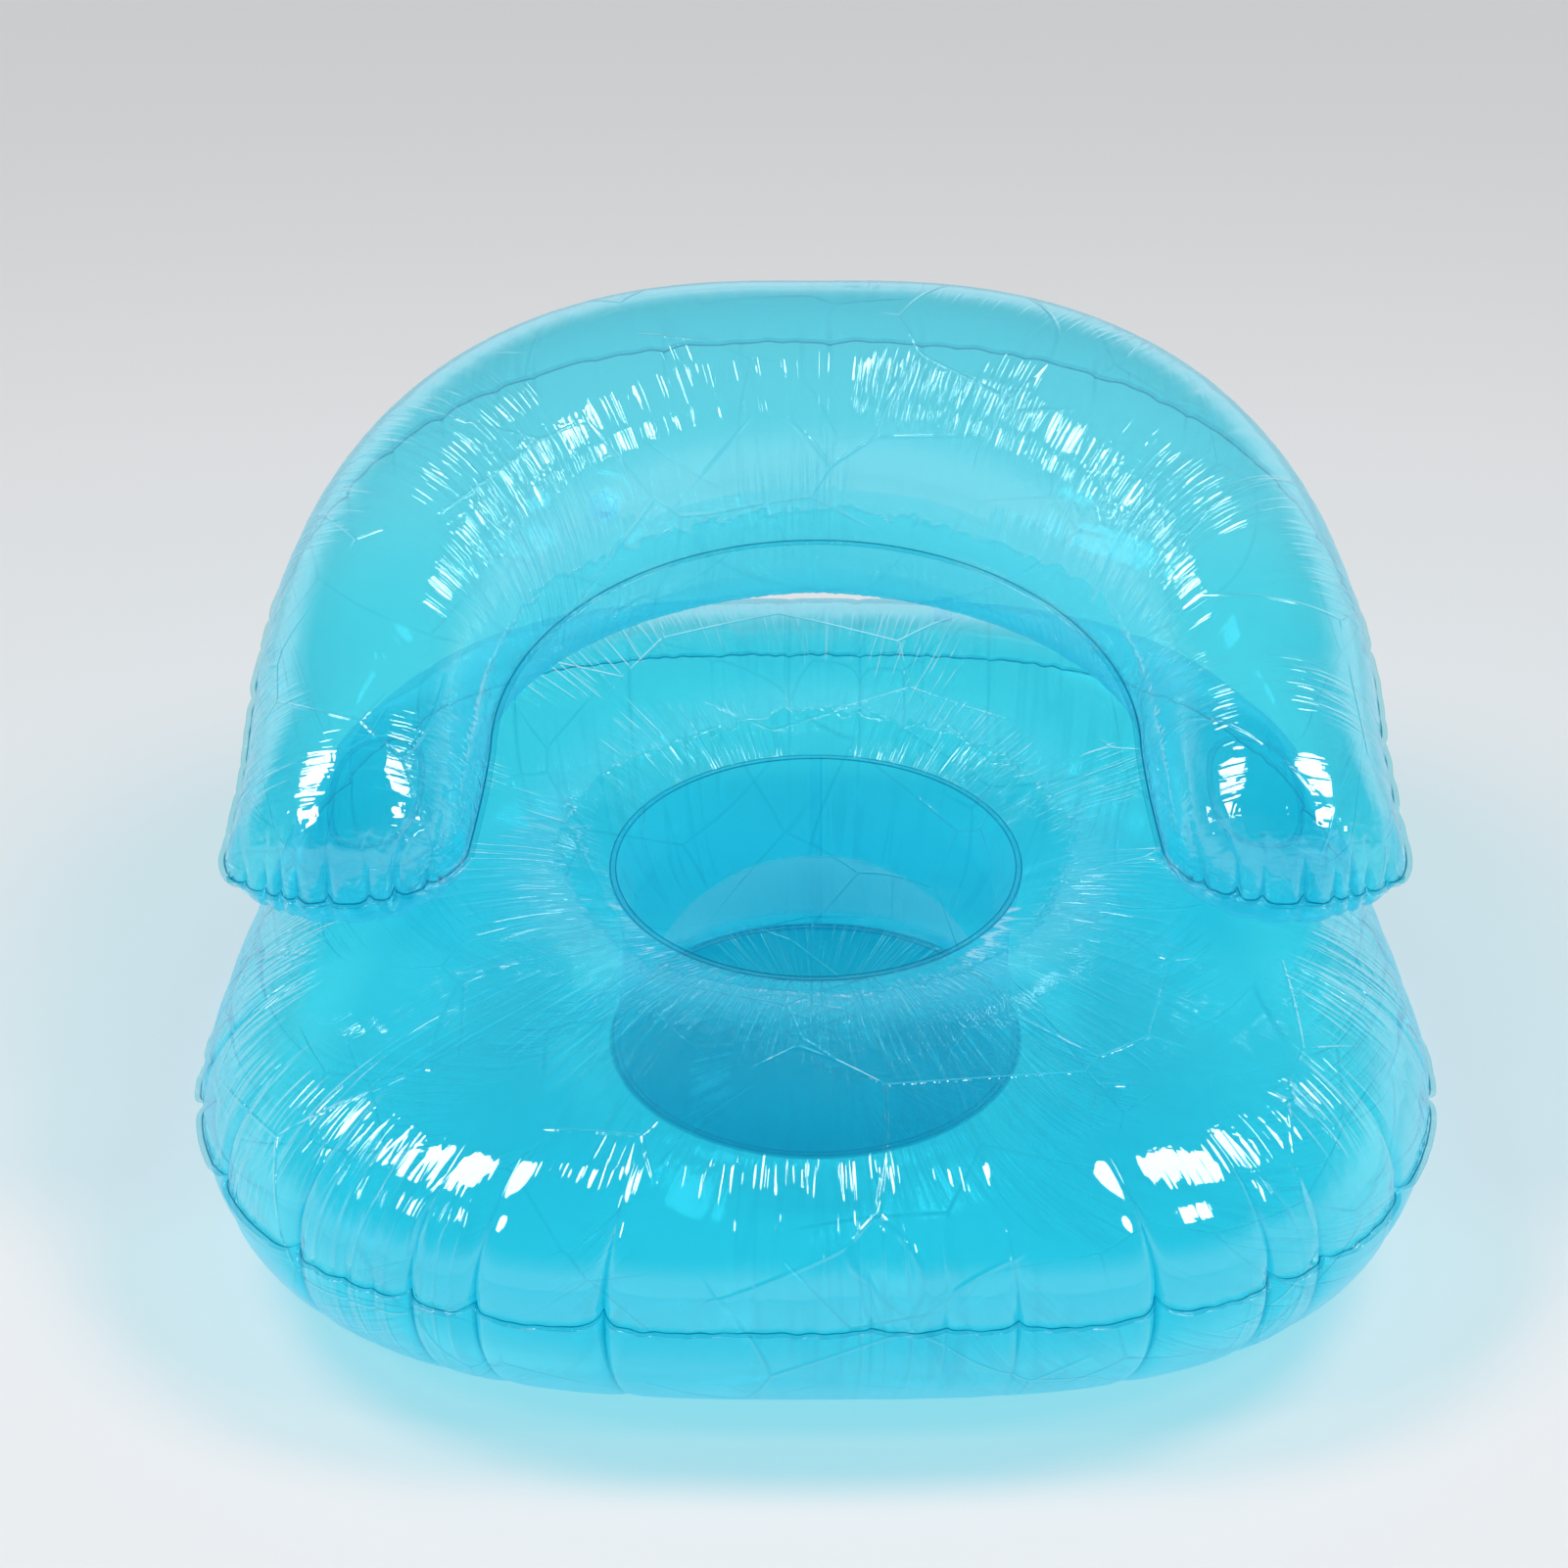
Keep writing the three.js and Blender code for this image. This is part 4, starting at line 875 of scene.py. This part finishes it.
def makeWellWelds():
    # a band with a bead along either side
    angle = np.arange(well["weldColumns"]) / well["weldColumns"] * 2 * np.pi
    outward = np.stack([np.cos(angle), np.sin(angle), 0 * angle], axis=-1)
    half = film["weldThickness"] / 2
    onFloor = well["floorHeight"] + film["thickness"] + film["fitGap"] + half
    lower = [(0, -1), (0.16, -1), (0.24, -0.2), (0.76, -0.2), (0.84, -1), (1, -1)]
    section = lower + [(a, -b) for a, b in lower[::-1]]
    for name, nodeName, middle, dark in (("wellRimWeld", "well_rim_weld", well["rimHeight"], 0.8),
                                         ("wellFloorWeld", "well_floor_weld", onFloor, 0.4)):
        rings = []
        for a, b in section:
            reach = well["radius"] - film["fitGap"] - film["weldWidth"] * (1 - a)
            rings.append(outward * reach + [0, wellAxisY, middle + b * half])
        addBand(name, rings, nodeName, [dark if abs(a - 0.5) > 0.3 else 0 for a, b in section], True)


# Horseshoe tube: each place along it is an inner and an outer seam point with a swollen section

tube = dict(innerHalfWidth=0.210, innerDepth=0.190, outerHalfWidth=0.363, outerDepth=0.388, outerPower=2.48,
            armLength=0.136, innerSplay=0.018, outerSplay=0.011, splayPower=1.5, capDepth=0.040,
            taperLength=0.118, tipHeight=0.246, tilt=math.radians(12.7), armFullness=0.98,
            shoulderFullness=1.04, backFullness=1.08, upperExtra=0.05, nosePower=2.35, tipCorner=0.88,
            armRows=96, archRows=560, columns=62, fill=0.95)
seamNormal = np.array([0, -math.sin(tube["tilt"]), math.cos(tube["tilt"])])
# puckers at the arms' tips, pleats and waves along the outer seam, and folds where the tube bends
tubeCrease = dict(tipAt=np.array([-0.90, -0.59, -0.34, 0.06, 0.36, 0.53, 0.69, 0.88]),
                  tipDeep=[0.8, 1.2, 0.8, 1.2, 0.7, 1.0, 1.1, 0.7],
                  tipSlant=np.array([1.5, -1.5, 2.8, -2.2, 1.8, -0.6, -2.6, -1.0]),
                  tipDepth=0.0062, tipWidth=0.030, tipReach=0.034, tipMean=0.4, tipLift=0.0036,
                  zigzag=0.0012, underShare=0.45, outerDepth=0.0035, outerReach=0.030, outerWidth=0.005,
                  outerMean=0.35, outerCount=34, outerLift=0.0022, outerLength=1.45, shadeWidth=0.0011,
                  shadeReach=0.018, shade=0.5, tipShade=0.7, tipShadeWidth=0.012, foldDepth=0.0018,
                  ripple=0.0009, ringAt=0.022, ringBend=0.012, layLength=1.3, seed=41)
# where the tube bends: places and widths as shares of its length, and of its width across
tubeBends = dict(shoulders=(0.245, 0.755), width=0.075, middle=0.25, middleWidth=0.15, foldsAt=-0.55,
                 foldsWidth=0.35, broad=0.35, broadAt=0.3, broadWidth=0.5, free=0.02,
                 folds=((61, 1.0, 52), (97, 0.6, 53), (41, 0.7, 54)))
tubeGathers = dict(bend=0.8, bendAt=-0.6, bendWidth=0.4, tip=0.9, tipReach=0.04, seam=0.25, seamReach=0.015)
# painted pale sheen towards the rear of the arch: its share on the upper and lower films, where it starts and
# how far it grows
tubePaintedSheen = dict(upper=0.44, lower=0.58, start=0.03, length=0.16)


def tubeStations():
    # arms: straight and a little splayed; arch: an ellipse inside and a superellipse outside
    tip = np.cos(np.linspace(0, 1, tube["armRows"] + 1)[:-1] * np.pi / 2)
    splay = tip ** tube["splayPower"]
    arm = np.stack([-tube["innerHalfWidth"] - tube["innerSplay"] * splay, -tube["armLength"] * tip,
                    -tube["outerHalfWidth"] - tube["outerSplay"] * splay, -tube["armLength"] * tip], axis=-1)
    turn = np.linspace(0, np.pi, tube["archRows"] + 1)
    roundness = 2 / tube["outerPower"]
    side, back = np.cos(turn), np.sin(turn)
    arch = np.stack([-tube["innerHalfWidth"] * side, tube["innerDepth"] * back,
                     -tube["outerHalfWidth"] * np.sign(side) * np.abs(side) ** roundness,
                     tube["outerDepth"] * back ** roundness], axis=-1)
    toBack = np.minimum(turn, np.pi - turn) / (np.pi / 2)
    slim, medium, full = tube["armFullness"], tube["shoulderFullness"], tube["backFullness"]
    fullness = slim + (medium - slim) * smoothStep(toBack * 1.8)
    fullness = fullness + (full - medium) * smoothStep(toBack * 1.6 - 0.6)
    ends = np.concatenate([arm, arch, arm[::-1] * [-1, 1, -1, 1]])
    tips = np.concatenate([tip, 0 * turn, tip[::-1]])
    fullness = np.concatenate([0 * tip + fullness[0], fullness, 0 * tip + fullness[0]])
    return ends[:, :2], ends[:, 2:], fullness, tips


def tubeGrid(up):
    # half height: half width times fullness, the tip's taper and the root of 1 less the square across.
    # The upper film is a little fuller, at the nose of the arms and over the arch.
    inner, outer, full, tips = tubeStations()
    across = -np.cos(np.linspace(0, 1, tube["columns"] + 1) * np.pi)
    across[np.abs(across[:, None] - tubeCrease["tipAt"]).argmin(0)] = tubeCrease["tipAt"]
    centre, half = (inner + outer) / 2, (outer - inner) / 2
    fromTip = tube["armLength"] * (1 - tips)
    nearTip = np.clip(1 - fromTip / tube["capDepth"], 0, 1) * (tips > 0)
    width = 1 - (1 - tube["tipCorner"]) * nearTip ** 2
    plan = centre[:, None, :] + half[:, None, :] * (across * width[:, None])[..., None]
    cap = tube["capDepth"] * (1 - np.sqrt(1 - (tube["tipCorner"] * across) ** 2))
    plan[..., 1] += cap * nearTip[:, None]
    fill = np.where(tips > 0, np.clip(fromTip / tube["taperLength"], 0, 1), 1)
    power = tube["nosePower"] if up > 0 else 2
    taper = (1 - (1 - fill) ** power) ** (1 / power)
    thick = np.linalg.norm(half, axis=1) * full * taper
    if up > 0:
        overArch = (full - tube["armFullness"]) / (tube["backFullness"] - tube["armFullness"])
        thick = thick * (1 + tube["upperExtra"] * overArch)
    halfHeight = thick[:, None] * np.sqrt(np.maximum(1 - across ** 2, 0))
    seam = tube["tipHeight"] + (plan[..., 1] + tube["armLength"]) * math.tan(tube["tilt"])
    grid = np.stack([plan[..., 0], plan[..., 1] + wellAxisY, seam], axis=-1)
    grid = grid + seamNormal * (up * (halfHeight + film["seamGap"]))[..., None]
    if up < 0:
        grid = restedOnSeat(grid, smoothStep((1 - np.abs(across)) / patch["seamFreeShare"]))
    return grid, across, tips, fromTip


def restedOnSeat(grid, seamHold):
    # pulled down onto the weld patches, and elsewhere kept off the seat by a soft maximum
    side, setback = grid[..., 0], grid[..., 1] - wellAxisY
    seatHeight = seatHeightAt(side, setback)
    hold = patchHold(side, setback) * seamHold
    pulled = grid[..., 2] + (seatHeight + patch["clearance"] - grid[..., 2]) * hold
    lowest = seatHeight + patch["clearance"] + (patch["rest"] - patch["clearance"]) * (1 - hold)
    rested = (pulled + lowest + np.hypot(pulled - lowest, patch["softness"] * (1 - hold))) / 2
    grid[..., 2] = np.where((seatHeight > 0) & (seamHold > 0), rested, grid[..., 2])
    return grid


def tubeEdge(along, across, tips, fromTip, fromOuter, tipShare):
    # puckers at the tip, pleats along the outer seam, and the seam's waves
    crease = tubeCrease
    turn = along[:, None] * 2 * np.pi
    rng = np.random.default_rng(crease["seed"])
    tipLine = crease["tipAt"] + crease["tipSlant"] * fromTip[:, None, None]
    tipApart = np.abs(across[None, :, None] - tipLine)
    tipPull = (crease["tipDeep"] * np.exp(-tipApart / crease["tipWidth"])).sum(-1)
    tipFade = np.where(tips > 0, np.exp(-(fromTip / crease["tipReach"]) ** 1.2), 0)[:, None]
    count = crease["outerCount"]
    spots = (np.arange(count) + rng.uniform(0.15, 0.85, count)) / count
    spots = along[np.abs(along[:, None] - spots).argmin(0)]
    deep = rng.uniform(0.2, 1.0, count)
    apart = np.abs(along[:, None] - spots) * crease["outerLength"]
    outerPull = (deep * np.exp(-apart / crease["outerWidth"])).sum(-1)[:, None]
    outerFade = np.exp(-(fromOuter / crease["outerReach"]) ** 1.3) * (1 - tipFade)
    waves = 0.3 * loopNoise(turn, (19, 31, 43, 59, 77), 43)
    push = crease["tipDepth"] * tipShare * (crease["tipMean"] - tipPull) * tipFade
    push = push + crease["outerDepth"] * (crease["outerMean"] - outerPull + waves) * outerFade
    lift = crease["outerLift"] * loopNoise(turn, (23, 37, 53, 71), 44) * outerFade
    zigzag = crease["zigzag"] * loopNoise(across * np.pi, (5, 8, 13, 17), 46)
    lift = lift + (crease["tipLift"] * (tipPull - 0.5) + zigzag) * tipFade
    fold = crease["shade"] * np.exp(-apart / crease["shadeWidth"]) * deep
    fold = fold.sum(-1)[:, None] * bell(fromOuter, 0, crease["shadeReach"])
    tipFold = np.exp(-tipApart / crease["tipShadeWidth"]).sum(-1) * tipFade ** 1.5
    return push, lift, np.clip(fold + crease["tipShade"] * tipShare * tipFold, 0, 1)


def tubeFolds(along, across, bend):
    # shallow folds across the tube where it bends: sharp valleys with round backs
    waves = along[:, None] * 2 * np.pi
    drift = 0.9 * loopNoise(waves, (3, 5, 7), 51) + 0.35 * across
    folds = 0
    for count, weight, seed in tubeBends["folds"]:
        phase = np.random.default_rng(seed).uniform(0, 6)
        folds = folds + weight * (np.abs(np.sin(waves * count / 2 + drift + phase)) ** 0.6 - 0.6)
    where = bell(across, tubeBends["foldsAt"], tubeBends["foldsWidth"])
    where = where + tubeBends["broad"] * bell(across, tubeBends["broadAt"], tubeBends["broadWidth"])
    return tubeCrease["foldDepth"] * folds * bend[:, None] * where


def tubeShape(up):
    # the film's points, moved off the plain tube by its creases, and what its material reads
    grid, across, tips, fromTip = tubeGrid(up)
    steps = np.linalg.norm(np.diff(grid[:, -1], axis=0), axis=-1)
    along = np.concatenate([[0], np.cumsum(steps)]) / steps.sum()
    fromInner = arcFromStart(grid.transpose(1, 0, 2)).T
    fromOuter = fromInner[:, -1:] - fromInner
    tipShare = 1.0 if up > 0 else tubeCrease["underShare"]
    push, lift, fold = tubeEdge(along, across, tips, fromTip, fromOuter, tipShare)
    bend = sum(bell(along, place, tubeBends["width"]) for place in tubeBends["shoulders"])
    bend = bend + tubeBends["middle"] * bell(along, 0.5, tubeBends["middleWidth"])
    free = smoothStep(fromInner / tubeBends["free"]) * smoothStep(fromOuter / tubeBends["free"])
    push = push + tubeFolds(along, across, bend) * free
    hold = 1.0
    if up < 0:
        ripple = tubeCrease["ripple"] * bell(fromInner, 0.05, 0.04) * (tips == 0)[:, None]
        push = push + ripple * loopNoise(along * 2 * np.pi, (113, 131, 149), 45)[:, None]
        hold = 1 - patchHold(grid[..., 0], grid[..., 1] - wellAxisY)
    made = grid - up * gridNormals(grid, False) * (push * hold)[..., None]
    made = made + seamNormal * (lift * hold)[..., None]
    inBend = bend[:, None] * bell(across, tubeGathers["bendAt"], tubeGathers["bendWidth"])
    gather = tubeGathers["bend"] * np.clip(inBend, 0, 1)
    atTip = np.where(tips > 0, np.exp(-fromTip / tubeGathers["tipReach"]), 0)[:, None]
    gather = gather + tubeGathers["tip"] * atTip
    gather = gather + tubeGathers["seam"] * np.exp(-fromOuter / tubeGathers["seamReach"])
    length = along[:, None] * tubeCrease["layLength"] + 0 * fromInner
    lay = np.stack([length, 0 * fromInner, fromInner], axis=-1)
    ring = fromInner - tubeCrease["ringAt"] - tubeCrease["ringBend"] * np.minimum(bend, 1)[:, None]
    # painted pale sheen, growing towards the rear of the arch
    bloom = smoothStep((grid[..., 1] - wellAxisY + tubePaintedSheen["start"]) / tubePaintedSheen["length"])
    bloom = bloom * tubePaintedSheen["upper" if up > 0 else "lower"]
    return made, dict(lay=lay, crumple=np.clip(gather, 0, 1), fold=fold, ring=ring, bloom=bloom)


def addTubeFilm(name, grid, material, nodeName, looks):
    piece = addFilm(name, grid, False, material, nodeName, "back_film", **looks)


def makeTube():
    # the upper film is turned round so that its faces point outwards too
    upper, looks = tubeShape(1)
    looks = {key: values[:, ::-1] for key, values in looks.items()}
    addTubeFilm("backUpperFilm", upper[:, ::-1], backFilm, "back_upper_sheet", looks)
    lower, looks = tubeShape(-1)
    looks["ring"] = 1.0
    flattenAtValve(lower, "back")
    addTubeFilm("backLowerFilm", lower, backUnderFilm, "back_lower_sheet", looks)

    # the weld follows the middle of the films' edges: outer side, right tip, inner side, left tip
    middle = (upper + lower) / 2
    loop = np.concatenate([middle[:, -1], middle[-1, ::-1][1:-1], middle[::-1, 0], middle[0][1:-1]])
    outward = unit(np.cross(seamNormal, loopStep(loop)))
    weldBand("backPerimeterWeld", loop, outward, seamNormal, "back_perimeter_weld")


def makeArmWelds():
    # a rounded outline on the seat's film, with a shallow groove along its middle
    turn = np.arange(360) / 360 * 2 * np.pi
    power = 2 / patch["power"]
    across, along = (np.sign(way) * np.abs(way) ** power for way in (np.cos(turn), np.sin(turn)))
    section = ((0, 0, 0.2), (0.001, 0, 0), (0.0035, 0, 0), (0.0045, 0, 0.2), (0.0045, 1, 0.2),
               (0.0035, 1, 0), (0.00225, 0.5, 0), (0.001, 1, 0), (0, 1, 0.2))
    for name, side in (("left", -1), ("right", 1)):
        rings = []
        for inset, rise, dark in section:
            x = side * patch["offset"] + across * (patch["halfWidth"] - inset)
            y = patch["setback"] + along * (patch["halfLength"] - inset)
            height = seatHeightAt(x, y) + patch["weldGap"] + rise * film["weldThickness"]
            rings.append(np.stack([x, y + wellAxisY, height], axis=-1))
        addBand(name + "ArmWeld", rings, name + "_arm_weld", [dark for inset, rise, dark in section], False)


# Camera and studio

photo = dict(width=1601, axisColumn=833, focal=5432, distance=2.911, height=2.079, pitch=32.2, sensor=36)
studio = dict(floorSize=14, floorDrop=0.001, floorColour=(0.86, 0.87, 0.89), floorGlow=0.2,
              floorFade=(1.3, 4.5), glowColour=(0.97, 0.98, 1), glowStrength=0.9, lampsAim=(0, 0, 0.2),
              wallLevels=((0.0, 0.95), (0.2, 0.90), (0.36, 0.42), (0.52, 0.10), (1.0, 0.07)))
# each lamp's place, size and power, one to either side
softboxes = dict(Softbox=((1.45, -0.2, 2.75), (1.0, 1.2), 36),
                 FrontSoftbox=((1.7, -1.45, 2.2), (0.45, 0.6), 9))


def makeCamera():
    data = bpy.data.cameras.new("camera")
    data.sensor_width = photo["sensor"]
    data.lens = photo["focal"] / photo["width"] * photo["sensor"]
    data.shift_x = (photo["width"] / 2 - photo["axisColumn"]) / photo["width"]
    data.clip_end = 60
    camera = bpy.data.objects.new("camera", data)
    camera.location = (0, -photo["distance"] + wellAxisY, photo["height"])
    camera.rotation_euler = (math.radians(90 - photo["pitch"]), 0, 0)
    bpy.context.scene.collection.objects.link(camera)
    bpy.context.scene.camera = camera


def makeFloor():
    # pale floor: for rays that look at it, a share of plain brightness over its lit colour, and far
    # out all of it, so that the floor ends in the pale wall
    half, drop = studio["floorSize"] / 2, studio["floorDrop"]
    mesh = bpy.data.meshes.new("floor")
    corners = [(x * half, y * half, -drop) for x, y in ((-1, -1), (1, -1), (1, 1), (-1, 1))]
    mesh.from_pydata(corners, [], [(0, 1, 2, 3)])
    material, tree = newTree("paleFloor")
    path = node(tree, "LightPath").outputs
    looks = mathNode(tree, "MAXIMUM", path["Is Camera Ray"], path["Is Glossy Ray"])
    looks = mathNode(tree, "MAXIMUM", looks, path["Is Transmission Ray"])
    place = node(tree, "TexCoord").outputs["Object"]
    fromMiddle = node(tree, "VectorMath", operation="LENGTH", _0=place).outputs["Value"]
    share = rangeNode(tree, fromMiddle, *studio["floorFade"], studio["floorGlow"], 1.0)
    lit = node(tree, "BsdfDiffuse", Color=(*studio["floorColour"], 1)).outputs[0]
    glow = node(tree, "Emission", Color=(*studio["glowColour"], 1), Strength=studio["glowStrength"])
    shown = mixShader(tree, mathNode(tree, "MULTIPLY", looks, share), lit, glow.outputs[0])
    node(tree, "OutputMaterial", Surface=shown)
    mesh.materials.append(material)
    floor = bpy.data.objects.new("floor", mesh)
    bpy.context.scene.collection.objects.link(floor)


def makeWorld():
    # a studio: pale walls round the horizon and a darker ceiling
    world = bpy.data.worlds.new("studio")
    bpy.context.scene.world = world
    world.use_nodes = True
    tree = world.node_tree
    tree.nodes.clear()
    way = node(tree, "TexCoord").outputs["Generated"]
    ramp = node(tree, "ValToRGB", _0=node(tree, "SeparateXYZ", _0=way).outputs["Z"])
    stops = ramp.color_ramp.elements
    while len(stops) < len(studio["wallLevels"]):
        stops.new(0.5)
    for stop, (height, level) in zip(stops, studio["wallLevels"]):
        stop.position = height
        stop.color = (level, level, level, 1)
    background = node(tree, "Background", Color=ramp.outputs["Color"]).outputs[0]
    node(tree, "OutputWorld", Surface=background)


def makeSoftbox(name, place, size, power):
    data = bpy.data.lights.new(name, "AREA")
    data.shape = "ELLIPSE"
    data.size, data.size_y = size
    data.energy = power
    lamp = bpy.data.objects.new(name, data)
    lamp.location = place
    way = np.array(studio["lampsAim"]) - place
    pitch = math.atan2(way[2], math.hypot(way[0], way[1])) + math.pi / 2
    lamp.rotation_euler = (pitch, 0, math.atan2(way[1], way[0]) - math.pi / 2)
    bpy.context.scene.collection.objects.link(lamp)


makeCamera()
makeFloor()
makeWorld()
for side, label in ((-1, "left"), (1, "right")):
    for lamp, (place, size, power) in softboxes.items():
        makeSoftbox(label + lamp, (side * place[0], *place[1:]), size, power)
print("camera, floor and lamps placed")

makeSeatTop()
makeSeatBottom()
makeSeatWeld()
print("seat made")
makeWellWall()
makeWellWelds()
print("well made")
makeTube()
makeArmWelds()
print("tube made")
for valveName in ("seat", "back"):
    makeValve(valveName)
print("valves made")

scene = bpy.context.scene
scene.view_settings.view_transform = "Standard"
scene.cycles.transparent_max_bounces = 64      # many films lie behind one another
scene.cycles.max_bounces = 8
scene.cycles.diffuse_bounces = 3
